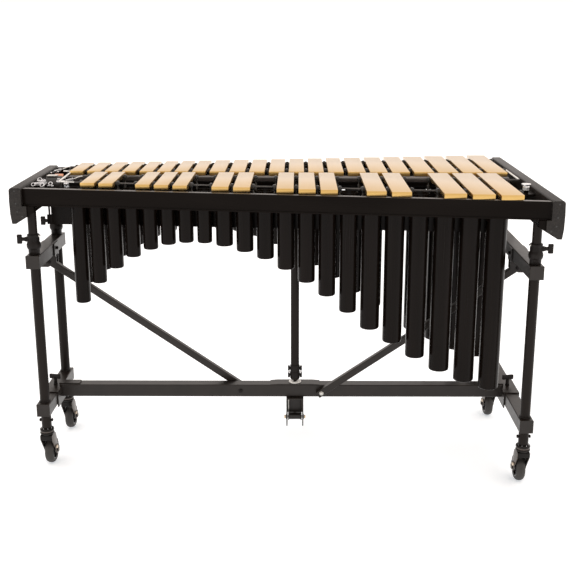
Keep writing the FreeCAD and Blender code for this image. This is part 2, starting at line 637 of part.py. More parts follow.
# Which gaps between naturals carry an accidental: F-G, G-A, A-B, then C-D, D-E.
HAS_ACCIDENTAL = [i % 7 in (0, 1, 2, 4, 5) for i in range(len(gap_x))]
accidentals = []
for i, has in enumerate(HAS_ACCIDENTAL):
    if has:
        accidentals.append((gap_x[i], naturals[i + 1][1] if i % 7 != 3 else naturals[i][1]))
cord_z = under_bars + SIZE["bar_thick"] / 2


def line_rod(accidental, far, radius, x0, x1):
    """A rod along one cord line, through all the bars of a row."""
    a = Vector(x0, node_line(x0, accidental, far), cord_z)
    b = Vector(x1, node_line(x1, accidental, far), cord_z)
    run = b - a
    return cylinder((a.x, a.y, a.z), radius, run.Length, (run.x, run.y, run.z))


def sounding_bar(x, alias, accidental):
    wide = SIZE[alias]
    y0 = near_edge(x, accidental)
    long = far_edge(x, accidental) - y0
    plain = box((x - wide / 2, y0, under_bars), "dims." + alias, long, "dims.bar_thick")
    return bevelled(plain, 0.9)


def arch(x, alias, accidental):
    """The shallow undercut that tunes a bar, a large cylinder across its middle."""
    wide = SIZE[alias]
    y0 = near_edge(x, accidental)
    long = far_edge(x, accidental) - y0
    deep = 2.5 + 2.5 * long / 376.0
    half = long * 0.16
    radius = (half * half + deep * deep) / (2 * deep)
    return cylinder((x - wide / 2 - 1, y0 + long / 2, under_bars + deep - radius), radius,
                    wide + 2, (1, 0, 0))


for accidental, row, split in ((False, naturals, 7), (True, accidentals, 5)):
    word = "accidental" if accidental else "natural"
    for label, part_of_row in (("low", row[:split]), ("high", row[split:])):
        blanks = [sounding_bar(bx, alias, accidental) for bx, alias in part_of_row]
        tools = [arch(bx, alias, accidental) for bx, alias in part_of_row]
        lo = min(bx for bx, _ in part_of_row) - 40
        hi = max(bx for bx, _ in part_of_row) + 40
        for far in (False, True):
            tools.append(line_rod(accidental, far, "dims.cord_bore / 2", lo, hi))
        bars = []
        for i, blank in enumerate(blanks):
            bars.append(cut(cut(blank, [tools[i]]), [group(tools[-2:])]))
        node(group(bars), "%s_bars_%s" % (word, label))

# Cord posts between the bars, each with an eye for the cord.
post_xs = {False: [naturals[0][0] + 35.0] + gap_x + [naturals[-1][0] - 25.5], True: []}
for i, has in enumerate(HAS_ACCIDENTAL):
    if not has:
        continue
    for j in (i, i + 1):
        edge = (gap_x[j - 1] + gap_x[j]) / 2 if 0 < j < len(gap_x) else (
            gap_x[0] + 35.0 if j == 0 else gap_x[-1] - 25.5)
        if not any(abs(edge - other) < 5 for other in post_xs[True]):
            post_xs[True].append(edge)
cord_posts = []
for accidental in (False, True):
    for far in (False, True):
        line_posts = []
        for px in post_xs[accidental]:
            py = node_line(px, accidental, far)
            pin = cylinder((px, py, support_z + 20.1), 2.6, cord_z + 6.0 - support_z - 20.1)
            sleeve = cylinder((px, py, support_z + 20.1), 4.6, 17.0)
            eye = cylinder((px, py, cord_z - 6.0), 4.4, 12.0)
            line_posts.append(fuse([pin, sleeve, eye]))
        drill = line_rod(accidental, far, "dims.cord_dia / 2 + 0.2", -700, 700)
        cord_posts.append(cut(group(line_posts), [drill]))
node(group(cord_posts), "cord_posts")

cords = []
for accidental in (False, True):
    left = min(post_xs[accidental]) - 26.0
    right = max(post_xs[accidental]) + 14.0
    for far in (False, True):
        cords.append(line_rod(accidental, far, "dims.cord_dia / 2", left, right))
node(group(cords), "bar_cords")

# ---------------------------------------------------------------- resonators and vibrato fans
front_feet = [500.0, 560.0, 605.0, 639.0, 662.0, 677.0, 684.0, 684.0, 677.0, 662.0, 643.0, 614.0,
              578.0, 540.0, 494.0, 447.0, 409.0, 367.0, 330.0, 301.0, 280.0]
rear_feet = [508.0, 548.0, 590.0, 625.0, 650.0, 667.0, 676.0, 678.0, 674.0, 664.0, 648.0, 622.0,
             590.0, 553.0, 512.0, 464.0, 418.0, 378.0, 340.0, 304.0, 270.0, 246.0]


def tube_radius(alias):
    return {"width_one": 28.5, "width_two": 27.0, "width_three": 24.0, "width_four": 21.0}[alias]


banks = {False: [], True: []}
for i in range(21):
    gx = gap_x[20 - i]
    banks[False].append((gx, tube_radius(naturals[21 - i][1] if i < 20 else "width_one"),
                         front_feet[i]))
for i in range(22):
    nx, alias = naturals[21 - i]
    banks[True].append((nx, tube_radius(alias), rear_feet[i]))


def shaft_rod(rear, radius, x0, x1):
    a = Vector(x0, bank_line(x0, rear), SIZE["shaft_z"])
    b = Vector(x1, bank_line(x1, rear), SIZE["shaft_z"])
    run = b - a
    return cylinder((a.x, a.y, a.z), radius, run.Length, (run.x, run.y, run.z))


MOTOR_X = -652.0
for rear, label in ((False, "front"), (True, "rear")):
    tubes = []
    discs = []
    slope = math.degrees(math.atan2(bank_line(500, rear) - bank_line(-500, rear), 1000.0))
    for tx, radius, foot in banks[rear]:
        ty = bank_line(tx, rear)
        outer = cylinder((tx, ty, foot), radius, SIZE["tube_top_z"] - foot)
        inner = cylinder((tx, ty, foot + 3.0), radius - SIZE["tube_skin"], SIZE["tube_top_z"] - foot)
        way = cylinder((tx - radius - 5, ty - (radius + 5) * math.tan(math.radians(slope)),
                        SIZE["shaft_z"]), 4.5, 2 * radius + 12,
                       (math.cos(math.radians(slope)), math.sin(math.radians(slope)), 0))
        tubes.append(cut(outer, [inner, way]))
        plate_r = radius - SIZE["tube_skin"] - 3.0
        disc = cylinder((tx, ty, SIZE["shaft_z"] - 0.6), plate_r, 1.2)
        discs.append(disc)
    node(group(tubes), label + "_resonators")
    shaft = shaft_rod(rear, "dims.shaft_dia / 2", -640.0, 650.0)
    c = math.cos(math.radians(slope))
    s = math.sin(math.radians(slope))
    wheel = turned([(2.0, -5), (17, -5), (17, -3.5), (13.5, -1), (13.5, 1), (17, 3.5), (17, 5),
                    (2.0, 5)], (-634.0, bank_line(-634.0, rear), SIZE["shaft_z"]),
                   Rotation(Vector(0, 0, 1), Vector(c, s, 0)))
    node(fuse([shaft, wheel] + discs), "vibrato_fan_" + label)

res_rails = []
for rear in (False, True):
    sign = -1 if rear else 1
    line = (lambda x, r=rear, q=sign: bank_line(x, r) + q * on_line(x, 23.8, 34.8))
    left = -653.0 if not rear else -640.0
    flat = strip(left, 627.0, line, 2.5, 722.0, 59.0)
    res_rails.append(flat)
    y0 = line(left)
    hook = box((left - 14.0, y0 - 1.25, 722.0), 14.4, 2.5, 28.0)
    y_end = line(627.0)
    tail = box((626.0, y_end - 1.25, 760.0), 25.0, 2.5, 21.0)
    hanger = box((-661.3, y0 - 5, 745.0), 3.0, 10, 55.0)
    hanger_low = box((650.6, y_end - 5, 760.0), 3.0, 10, 40.0)
    res_rails[-1] = fuse([flat, hook, tail, hanger, hanger_low])
node(group(res_rails), "resonator_rails")

# ---------------------------------------------------------------- motor and small hardware
motor_y = 14.0
housing = turned([(0, 0), (20, 0), (24, 4), (24, 44), (20, 48), (0, 48)],
                 (-684.0 + 4.0, motor_y, 826.5), ALONG_X)
motor_foot = box((-682.0, motor_y - 15, 802.5), 44, 30, 12.0)
node(fuse([housing, motor_foot]), "vibrato_motor")
node(turned([(0, -4), (3, -4), (3, -1), (10, -1), (10, 0), (7.5, 2), (10, 4), (10, 8), (7.5, 10),
             (10, 12), (10, 13), (0, 13)], (-626.5, motor_y, 826.5), ALONG_X), "motor_pulley")

node(turned([(0, 0), (9.0, 0), (9.0, 2.0), (8.6, 3.0), (8.6, 12.5), (12.0, 14.0), (13.0, 15.0),
             (13.0, 17.0), (11.5, 18.2), (0, 18.2)], (knob_at[0], knob_at[1], 844.6)),
     "damper_knob")

doc.recompute()

# ---------------------------------------------------------------- checks and files
for obj in doc.Objects:
    bad = [state for state in obj.State if state in ("Invalid", "Error")]
    if bad:
        raise RuntimeError("%s (%s): %s" % (obj.Label, obj.Name, obj.State))
for obj in NODES:
    if obj.Shape.isNull() or not obj.Shape.isValid():
        raise RuntimeError("bad shape: " + obj.Label)
if len(NODES) > 60:
    raise RuntimeError("too many nodes: %d" % len(NODES))
os.makedirs("parts", exist_ok=True)
for obj in NODES:
    obj.Shape.exportStep("parts/%s.step" % obj.Label)
print(len(NODES), "nodes")
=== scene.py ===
import bpy
import bmesh
import math
from mathutils import Matrix, Vector


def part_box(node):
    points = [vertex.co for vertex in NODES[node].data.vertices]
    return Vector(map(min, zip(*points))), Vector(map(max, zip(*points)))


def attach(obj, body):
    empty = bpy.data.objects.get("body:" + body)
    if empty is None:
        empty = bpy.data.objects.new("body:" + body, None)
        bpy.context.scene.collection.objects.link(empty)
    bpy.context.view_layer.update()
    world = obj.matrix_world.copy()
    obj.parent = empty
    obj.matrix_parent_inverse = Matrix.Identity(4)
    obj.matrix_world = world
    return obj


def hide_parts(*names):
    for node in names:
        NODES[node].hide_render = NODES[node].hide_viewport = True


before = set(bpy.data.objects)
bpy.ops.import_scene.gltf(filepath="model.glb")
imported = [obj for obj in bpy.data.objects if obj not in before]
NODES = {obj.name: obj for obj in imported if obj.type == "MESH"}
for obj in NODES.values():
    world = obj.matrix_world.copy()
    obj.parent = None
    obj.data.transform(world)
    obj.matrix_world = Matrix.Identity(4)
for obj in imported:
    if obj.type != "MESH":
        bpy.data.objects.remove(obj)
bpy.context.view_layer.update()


# ---------------------------- materials
def material(name):
    """A new surface with one shader: the surface, its node tree and the shader."""
    surface = bpy.data.materials.new(name)
    surface.use_nodes = True
    tree = surface.node_tree
    tree.nodes.clear()
    out = tree.nodes.new("ShaderNodeOutputMaterial")
    shader = tree.nodes.new("ShaderNodeBsdfPrincipled")
    tree.links.new(shader.outputs[0], out.inputs[0])
    return surface, tree, shader


def coords(tree, scale):
    """Places on the object, scaled along each axis."""
    place = tree.nodes.new("ShaderNodeTexCoord")
    mapping = tree.nodes.new("ShaderNodeMapping")
    mapping.inputs["Scale"].default_value = scale
    tree.links.new(place.outputs["Object"], mapping.inputs["Vector"])
    return mapping.outputs["Vector"]


def noise(tree, scale, vec, detail=3.0, rough=0.55):
    """A cloudy value from 0 to 1."""
    n = tree.nodes.new("ShaderNodeTexNoise")
    n.inputs["Scale"].default_value = scale
    n.inputs["Detail"].default_value = detail
    n.inputs["Roughness"].default_value = rough
    tree.links.new(vec, n.inputs["Vector"])
    return n.outputs["Fac"]


def ramp(tree, fac, stops):
    """A colour that goes through the stops, each a position and a colour."""
    r = tree.nodes.new("ShaderNodeValToRGB")
    while len(r.color_ramp.elements) < len(stops):
        r.color_ramp.elements.new(0.5)
    for el, (pos, col) in zip(r.color_ramp.elements, stops):
        el.position = pos
        el.color = (*col, 1.0)
    tree.links.new(fac, r.inputs["Fac"])
    return r.outputs["Color"]


def spread(tree, fac, low, high):
    """A value from 0 to 1 stretched to low and high."""
    r = tree.nodes.new("ShaderNodeMapRange")
    r.inputs["To Min"].default_value = low
    r.inputs["To Max"].default_value = high
    tree.links.new(fac, r.inputs["Value"])
    return r.outputs["Result"]


def finish(name, dark, light, rough, metal=0.0, grain=900.0, grain_high=0.00004, patch=14.0,
           stretch=(1, 1, 1), coat=0.0, spec=0.5, cells=None, sheen=0.0, coat_rough=0.2):
    """A surface with patchy colour and roughness and a fine raised grain."""
    surface, tree, shader = material(name)
    plain = coords(tree, (1, 1, 1))
    drawn = coords(tree, stretch)
    cloud = noise(tree, patch, drawn, 4.0)
    tree.links.new(ramp(tree, cloud, [(0.32, dark), (0.7, light)]), shader.inputs["Base Color"])
    worn = noise(tree, patch * 3.7, drawn, 5.0, 0.65)
    tree.links.new(spread(tree, worn, rough[0], rough[1]), shader.inputs["Roughness"])
    shader.inputs["Metallic"].default_value = metal
    shader.inputs["Specular IOR Level"].default_value = spec
    shader.inputs["Coat Weight"].default_value = coat
    shader.inputs["Coat Roughness"].default_value = coat_rough
    shader.inputs["Sheen Weight"].default_value = sheen
    if cells:
        voronoi = tree.nodes.new("ShaderNodeTexVoronoi")
        voronoi.feature = "SMOOTH_F1"
        voronoi.inputs["Scale"].default_value = cells
        tree.links.new(plain, voronoi.inputs["Vector"])
        high = voronoi.outputs["Distance"]
    else:
        high = noise(tree, grain, drawn, 3.0)
    bump = tree.nodes.new("ShaderNodeBump")
    bump.inputs["Strength"].default_value = 1.0
    bump.inputs["Distance"].default_value = grain_high
    tree.links.new(high, bump.inputs["Height"])
    tree.links.new(bump.outputs["Normal"], shader.inputs["Normal"])
    return surface


FINISHES = {
    "steel": finish("powder_coat", (0.0085, 0.0060, 0.0045), (0.0140, 0.0102, 0.0080), (0.28, 0.42),
                    spec=0.34,
                    grain=1500.0, grain_high=0.00003),
    "post": finish("post_satin", (0.0075, 0.0052, 0.0040), (0.0115, 0.0084, 0.0068), (0.26, 0.38),
                   spec=0.13, grain_high=0.00002, stretch=(1, 1, 0.15)),
    "tube": finish("anodised_black", (0.0032, 0.0019, 0.0013), (0.0060, 0.0038, 0.0028), (0.20, 0.32),
                   spec=0.10,
                   grain=700.0, grain_high=0.00002, stretch=(1, 1, 0.04), patch=30.0),
    "rail": finish("rail_satin", (0.0040, 0.0027, 0.0020), (0.0066, 0.0048, 0.0038), (0.22, 0.34),
                   spec=0.05,
                   grain=800.0, grain_high=0.00002, stretch=(0.1, 1, 1)),
    "panel": finish("moulded_grain", (0.0050, 0.0038, 0.0030), (0.0190, 0.0155, 0.0130), (0.36, 0.52),
                    cells=420.0, grain_high=0.00055, patch=210.0, spec=0.28),
    "knob": finish("knob_plastic", (0.007, 0.0055, 0.0048), (0.014, 0.0115, 0.0105), (0.32, 0.46),
                   spec=0.14,
                   grain=1300.0, grain_high=0.00004),
    "gold": finish("gold_anodised", (0.555, 0.345, 0.085), (0.625, 0.395, 0.115), (0.24, 0.36), metal=0.92,
                   grain=600.0, grain_high=0.000015, stretch=(1, 0.05, 1), patch=9.0, coat=1.0,
                   coat_rough=0.30),
    "cord": finish("cord_braid", (0.80, 0.78, 0.74), (0.93, 0.92, 0.88), (0.6, 0.8),
                   cells=900.0, grain_high=0.0002, sheen=0.3),
    # The white cord coloured dark where it runs among the bars: painted shade.
    "cord_painted_shade": finish("cord_braid_painted_shade", (0.045, 0.040, 0.036), (0.085, 0.075, 0.068), (0.6, 0.8),
                   cells=900.0, grain_high=0.0002, sheen=0.3),
    "gloss": finish("post_gloss", (0.010, 0.010, 0.010), (0.018, 0.017, 0.016), (0.18, 0.3)),
    "felt": finish("felt", (0.020, 0.014, 0.012), (0.045, 0.032, 0.027), (0.85, 1.0),
                   grain=2600.0, grain_high=0.0004, sheen=0.4),
    "chrome": finish("chrome", (0.78, 0.78, 0.79), (0.86, 0.86, 0.87), (0.08, 0.18), metal=1.0,
                     grain=500.0, grain_high=0.000008),
    "satin": finish("satin_chrome", (0.84, 0.84, 0.83), (0.93, 0.93, 0.92), (0.34, 0.46), metal=1.0,
                    grain=600.0, grain_high=0.00001),
    "zinc": finish("zinc", (0.50, 0.49, 0.46), (0.66, 0.64, 0.60), (0.28, 0.42), metal=1.0,
                   grain_high=0.00002),
    "tyre": finish("tyre", (0.016, 0.014, 0.0125), (0.028, 0.025, 0.022), (0.5, 0.68),
                   grain=1100.0, grain_high=0.00008),
    # A pale colour for strips on the rails' upper edges: a painted highlight, not the rail's own colour.
    "edge_painted_highlight": finish("rail_edge_painted_highlight", (0.030, 0.024, 0.020), (0.048, 0.040, 0.034), (0.24, 0.36), spec=0.6),
    # A paler copy of the black steel for faces that catch the light: painted light.
    "painted_lit_steel": finish("painted_lit_steel", (0.050, 0.038, 0.030), (0.075, 0.058, 0.048), (0.26, 0.4)),
    "hub": finish("hub", (0.005, 0.0042, 0.0038), (0.010, 0.0085, 0.0075), (0.14, 0.28), spec=0.16,
                  grain_high=0.00005),
    "cream": finish("cream_tab", (0.60, 0.50, 0.38), (0.72, 0.62, 0.50), (0.4, 0.6), grain_high=0.00004),
    "motor": finish("motor_case", (0.020, 0.018, 0.016), (0.035, 0.031, 0.028), (0.3, 0.45),
                    grain_high=0.00003),
    "nylon": finish("nylon", (0.86, 0.85, 0.82), (0.95, 0.94, 0.92), (0.35, 0.5)),
    "brass": finish("brass", (0.62, 0.42, 0.17), (0.74, 0.52, 0.24), (0.25, 0.4), metal=1.0),
    "copper": finish("copper", (0.62, 0.30, 0.19), (0.75, 0.40, 0.27), (0.25, 0.45), metal=1.0,
                     grain_high=0.00003),
    "fan": finish("fan_sheet", (0.05, 0.045, 0.04), (0.08, 0.07, 0.065), (0.35, 0.5), metal=0.8,
                  grain_high=0.00003),
}

BY_NODE = {"damper_bar": "rail", "inner_frame": "rail", "damper_knob": "chrome", "motor_pulley": "chrome",
           "post_collars": "knob", "height_clamps": "knob", "rod_clamp": "knob", "bar_cords": "cord",
           "cord_posts": "gloss", "damper_felt": "felt", "stand_fasteners": "zinc",
           "vibrato_motor": "motor",
           "outer_posts": "post", "inner_posts": "post", "upper_rod": "post", "lower_rod": "post"}
BY_WORD = {"end_panel": "panel", "resonator": "tube", "_rail": "rail", "bars_": "gold", "knob": "knob",
           "caster_wheel": "tyre", "caster_brake": "cream", "vibrato_fan": "fan"}


def node_finish(node):
    """The name of a CAD node's finish: its own, or that of a word in its name, or plain steel."""
    if node in BY_NODE:
        return BY_NODE[node]
    words = [word for word in BY_WORD if word in node]
    return BY_WORD[words[0]] if words else "steel"


for node, obj in NODES.items():
    if not obj.material_slots:
        obj.data.materials.append(None)
    for place in obj.material_slots:
        place.material = FINISHES[node_finish(node)]

# ---------------------------- mesh building
MM = 0.001
AXIS = {
    "z": Matrix.Identity(3),
    "x": Matrix(((0, 0, 1), (1, 0, 0), (0, 1, 0))),
    "-x": Matrix(((0, 0, -1), (-1, 0, 0), (0, 1, 0))),
    "y": Matrix(((1, 0, 0), (0, 0, 1), (0, -1, 0))),
    "-y": Matrix(((1, 0, 0), (0, 0, -1), (0, 1, 0))),
}


def frame_at(at, axis="z", spin=0.0):
    """A 4x4 whose local Z runs along the axis; at is in millimetres."""
    rot = AXIS[axis] if isinstance(axis, str) else Vector(axis).to_track_quat("Z", "Y").to_matrix()
    return Matrix.Translation(Vector(at) * MM) @ rot.to_4x4() @ Matrix.Rotation(spin, 4, "Z")


SHARP = 38.0        # degrees between faces from which an edge is drawn sharp


def side_view(x, y, z):
    """A 4x4 for outlines in (y, z) that are extruded along x; the place is in millimetres."""
    return Matrix(((0, 0, 1, x * MM), (1, 0, 0, y * MM), (0, 1, 0, z * MM), (0, 0, 0, 1)))


class Piece:
    """One visible piece, gathered from several closed shapes; sizes in millimetres."""

    def __init__(self, name, *finishes):
        self.name = name
        self.finishes = list(finishes)
        self.bm = bmesh.new()

    def index_of(self, finish_name):
        """The place of a finish in this piece's list; a new one goes at the end."""
        if finish_name not in self.finishes:
            self.finishes.append(finish_name)
        return self.finishes.index(finish_name)

    def add(self, part, where, finish_name):
        """Takes in one closed shape, put in place and given a finish."""
        for f in part.faces:
            f.material_index = self.index_of(finish_name)
            f.smooth = True
        part.transform(where)
        if where.determinant() < 0:
            bmesh.ops.reverse_faces(part, faces=part.faces[:])
        me = bpy.data.meshes.new("tmp")
        part.to_mesh(me)
        part.free()
        self.bm.from_mesh(me)
        bpy.data.meshes.remove(me)

    def lathe(self, profile, where, finish_name, segs=40, ribs=0, rib=0.0, closed=False):
        """A turned shape from (radius, height) points; open profiles are closed at the axis."""
        part = bmesh.new()
        rings = []
        for r, z in profile:
            if r < 1e-6:
                rings.append([part.verts.new((0, 0, z * MM))])
                continue
            ring = []
            for k in range(segs):
                a = 2 * math.pi * k / segs
                rr = r * (1.0 + (rib * math.cos(ribs * a) if ribs else 0.0))
                ring.append(part.verts.new((rr * MM * math.cos(a), rr * MM * math.sin(a), z * MM)))
            rings.append(ring)
        pairs = list(zip(rings, rings[1:]))
        if closed:
            pairs.append((rings[-1], rings[0]))
        for low, high in pairs:
            for k in range(segs):
                n = (k + 1) % segs
                if len(low) == 1 and len(high) == 1:
                    continue
                if len(low) == 1:
                    part.faces.new((low[0], high[n], high[k]))
                elif len(high) == 1:
                    part.faces.new((low[k], low[n], high[0]))
                else:
                    part.faces.new((low[k], low[n], high[n], high[k]))
        if not closed:
            for ring, flip in ((rings[0], True), (rings[-1], False)):
                if len(ring) > 1:
                    part.faces.new(list(reversed(ring)) if flip else ring)
        bmesh.ops.recalc_face_normals(part, faces=part.faces[:])
        self.add(part, where, finish_name)

    def block(self, low, high, finish_name, bevel=1.0, where=None, segs=3):
        """A block with rounded edges, from its two corners."""
        part = bmesh.new()
        bmesh.ops.create_cube(part, size=1.0)
        size = [(h - l) * MM for l, h in zip(low, high)]
        mid = [(h + l) / 2 * MM for l, h in zip(low, high)]
        bmesh.ops.scale(part, vec=size, verts=part.verts[:])
        bmesh.ops.translate(part, vec=mid, verts=part.verts[:])
        if bevel:
            bmesh.ops.bevel(part, geom=part.edges[:], offset=bevel * MM, segments=segs, profile=0.5,
                            affect="EDGES")
        self.add(part, where or Matrix.Identity(4), finish_name)

    def prism(self, outline, z0, z1, where, finish_name, bevel=0.8, segs=2, rims_only=True):
        """An extruded outline with softened rims; the outline is in millimetres, anticlockwise."""
        part = bmesh.new()
        base = [part.verts.new((x * MM, y * MM, z0 * MM)) for x, y in outline]
        face = part.faces.new(base)
        got = bmesh.ops.extrude_face_region(part, geom=[face])
        bmesh.ops.translate(part, vec=(0, 0, (z1 - z0) * MM),
                            verts=[v for v in got["geom"] if isinstance(v, bmesh.types.BMVert)])
        bmesh.ops.recalc_face_normals(part, faces=part.faces[:])
        if bevel:
            rims = [e for e in part.edges
                    if abs(e.verts[0].co.z - e.verts[1].co.z) < 1e-9 or not rims_only]
            bmesh.ops.bevel(part, geom=rims, offset=bevel * MM, segments=segs, profile=0.5,
                            affect="EDGES", clamp_overlap=True)
        self.add(part, where, finish_name)

    def wire(self, points, radius, finish_name, segs=10, loop=False):
        """A round wire along millimetre points."""
        part = bmesh.new()
        pts = [Vector(p) * MM for p in points]
        rings = []
        up = Vector((0.12, 0.31, 0.94))
        for i, p in enumerate(pts):
            a = pts[(i - 1) % len(pts)] if loop or i else pts[0]
            b = pts[(i + 1) % len(pts)] if loop or i < len(pts) - 1 else pts[-1]
            t = (b - a).normalized()
            side = t.cross(up)
            if side.length < 1e-4:
                side = t.cross(Vector((1, 0, 0)))
            side.normalize()
            up = side.cross(t).normalized()
            rings.append([part.verts.new(p + (side * math.cos(w) + up * math.sin(w)) * radius * MM)
                          for w in (2 * math.pi * k / segs for k in range(segs))])
        pairs = list(zip(rings, rings[1:]))
        if loop:
            pairs.append((rings[-1], rings[0]))
        for low, high in pairs:
            for k in range(segs):
                n = (k + 1) % segs
                part.faces.new((low[k], low[n], high[n], high[k]))
        if not loop:
            part.faces.new(rings[0])
            part.faces.new(rings[-1])
        bmesh.ops.recalc_face_normals(part, faces=part.faces[:])
        self.add(part, Matrix.Identity(4), finish_name)

    def done(self, body, *nodes, slot=None):
        """Makes the object, lets it ride on a body and stand for CAD nodes."""
        me = bpy.data.meshes.new(self.name)
        self.bm.to_mesh(me)
        self.bm.free()
        for finish_name in self.finishes:
            me.materials.append(FINISHES[finish_name])
        me.set_sharp_from_angle(angle=math.radians(SHARP))
        o = bpy.data.objects.new(self.name, me)
        bpy.context.collection.objects.link(o)
        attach(o, body)
        if nodes:
            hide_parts(*nodes)
        return o


def filleted(corners, radii, steps=5):
    """An outline whose corners are rounded by the given radii."""
    out = []
    count = len(corners)
    for i, (corner, radius) in enumerate(zip(corners, radii)):
        p = Vector(corner)
        a = (Vector(corners[i - 1]) - p)
        b = (Vector(corners[(i + 1) % count]) - p)
        if radius <= 0:
            out.append(tuple(p))
            continue
        la, lb = a.length, b.length
        a.normalize()
        b.normalize()
        half = math.acos(max(-1, min(1, a.dot(b)))) / 2
        cut = min(radius / math.tan(half), la * 0.48, lb * 0.48)
        r = cut * math.tan(half)
        centre = p + (a + b).normalized() * (r / math.sin(half))
        start = p + a * cut - centre
        end = p + b * cut - centre
        a0 = math.atan2(start.y, start.x)
        a1 = math.atan2(end.y, end.x)
        while a1 - a0 > math.pi:
            a1 -= 2 * math.pi
        while a1 - a0 < -math.pi:
            a1 += 2 * math.pi
        for k in range(steps + 1):
            w = a0 + (a1 - a0) * k / steps
            out.append((centre.x + r * math.cos(w), centre.y + r * math.sin(w)))
    return out


def hexagon(radius):
    """The six corners of a hexagon, anticlockwise."""
    return [(radius * math.cos(math.pi * k / 3), radius * math.sin(math.pi * k / 3)) for k in range(6)]


def bend(a, b, c, steps=10):
    """A quadratic curve through three control points."""
    out = []
    for k in range(steps + 1):
        t = k / steps
        out.append(tuple((1 - t) ** 2 * p + 2 * t * (1 - t) * q + t * t * r for p, q, r in zip(a, b, c)))
    return out


def spring(piece, a, b, radius, turns, wire_radius):
    """A chrome coil spring between two points, with straight ends."""
    a, b = Vector(a), Vector(b)
    run = (b - a).normalized()
    side = run.cross(Vector((0, 0, 1))).normalized()
    up = side.cross(run)
    points = [a]
    for k in range(turns * 12 + 1):
        w = 2 * math.pi * k / 12
        along = a + (b - a) * (0.12 + 0.76 * k / (turns * 12))
        points.append(along + (side * math.cos(w) + up * math.sin(w)) * radius)
    piece.wire(points + [b], wire_radius, "chrome", segs=7)


# ---------------------------- layout, in millimetres
def corners_mm(node):
    """The lowest and highest corners of a CAD node, in millimetres."""
    return [[round(v / MM, 3) for v in corner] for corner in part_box(node)]


def middle_mm(node, axis):
    """The middle of a CAD node along one axis, 0 to 2, in millimetres."""
    low, high = corners_mm(node)
    return round((low[axis] + high[axis]) / 2, 3)


TRAIL = 36.0        # a caster's wheel stands this far behind its stem
POST_X = middle_mm("caster_wheel_low_back", 0)
POST_Y = {-1: middle_mm("caster_wheel_high_back", 1) - TRAIL,
          1: middle_mm("caster_wheel_low_back", 1) - TRAIL}
WHEEL_Z = middle_mm("caster_wheel_low_back", 2)
ROD_X = middle_mm("lower_rod", 0)
BAR_LOW, BAR_TOP = (corner[2] for corner in corners_mm("natural_bars_low"))
CORD_Z = (BAR_LOW + BAR_TOP) / 2
RAIL_TOP = corners_mm("front_rail")[1][2]
RAIL_THICK = 18.0
TUBE_TOP = corners_mm("rear_resonators")[1][2]
SEAT_Z = 822.4      # the seat of the cord posts on their rails
PIVOT_Y, PIVOT_Z = -22.0, 116.0        # the pedal's pin
GAP = 12.85         # between neighbouring bars
NARROW_X, TAPER_RUN = -588.0, 1280.0        # where the bars' taper starts, and how far it runs
NODE_SHARE = 0.224  # of a bar's length, from its end to the line that stays still
CLAMP_FOOT = 652.7  # the lower rim of the height clamps
SADDLE_TOP = 212.5  # where the saddles' knobs stand
END_BEAM_TOP = 822.6
RIVET_HEIGHTS = (743.0, 769.0)
ENDS = ((-1, "high"), (1, "low"))      # the narrow end, at -x, and the wide end
CORNERS = [(-1, -1, "high_front"), (-1, 1, "high_back"), (1, -1, "low_front"), (1, 1, "low_back")]


def outward(sign):
    """The axis that points away from the middle, on the side of x that the sign tells."""
    return "x" if sign > 0 else "-x"


def on_line(x, left, right):
    """A value on the straight taper from the narrow end of the bars to the wide end."""
    return left + (right - left) * (x - NARROW_X) / TAPER_RUN


def near_edge(x, accidental):
    """The y of the end of a bar that is towards the front, -y."""
    return on_line(x, -176.0, -388.0) if accidental else on_line(x, 25.5, 1.5)


def far_edge(x, accidental):
    """The y of the end of a bar that is towards the rear, +y."""
    return on_line(x, 11.5, -12.5) if accidental else on_line(x, 191.5, 374.4)


def node_line(x, accidental, far):
    """Where a bar doesn't move when it sounds: 22.4 percent of its length from each end."""
    near = near_edge(x, accidental)
    return near + (far_edge(x, accidental) - near) * (1 - NODE_SHARE if far else NODE_SHARE)


def bank_line(x, rear):
    """The line of the tubes' axes, below the middle of the bars."""
    return (near_edge(x, not rear) + far_edge(x, not rear)) / 2.0


def natural_places():
    """The middle and the width of each natural bar, from the lowest, F3, to the highest, F6."""
    places = [(624.9, 57.15)]
    for wide in [57.15] * 3 + [50.8] * 3 + [44.45] * 7 + [38.1] * 8:
        x, last = places[-1]
        places.append((x - (last + wide) / 2 - GAP, wide))
    return places


NATURALS = natural_places()
GAPS = [(NATURALS[i][0] + NATURALS[i + 1][0]) / 2 for i in range(21)]
RAISED = [i % 7 in (0, 1, 2, 4, 5) for i in range(21)]        # gaps that have an accidental above them
ACCIDENTALS = [(GAPS[i], NATURALS[i + 1][1]) for i in range(21) if RAISED[i]]


def accidental_edges():
    """The places of the cord posts beside the accidentals, which neighbours share."""
    middles = [GAPS[0] + 35.0] + [(a + b) / 2 for a, b in zip(GAPS, GAPS[1:])] + [GAPS[-1] - 25.5]
    return [x for j, x in enumerate(middles) if (j < 21 and RAISED[j]) or (j > 0 and RAISED[j - 1])]


EDGES = {False: [NATURALS[0][0] + 35.0] + GAPS + [NATURALS[-1][0] - 25.5], True: accidental_edges()}


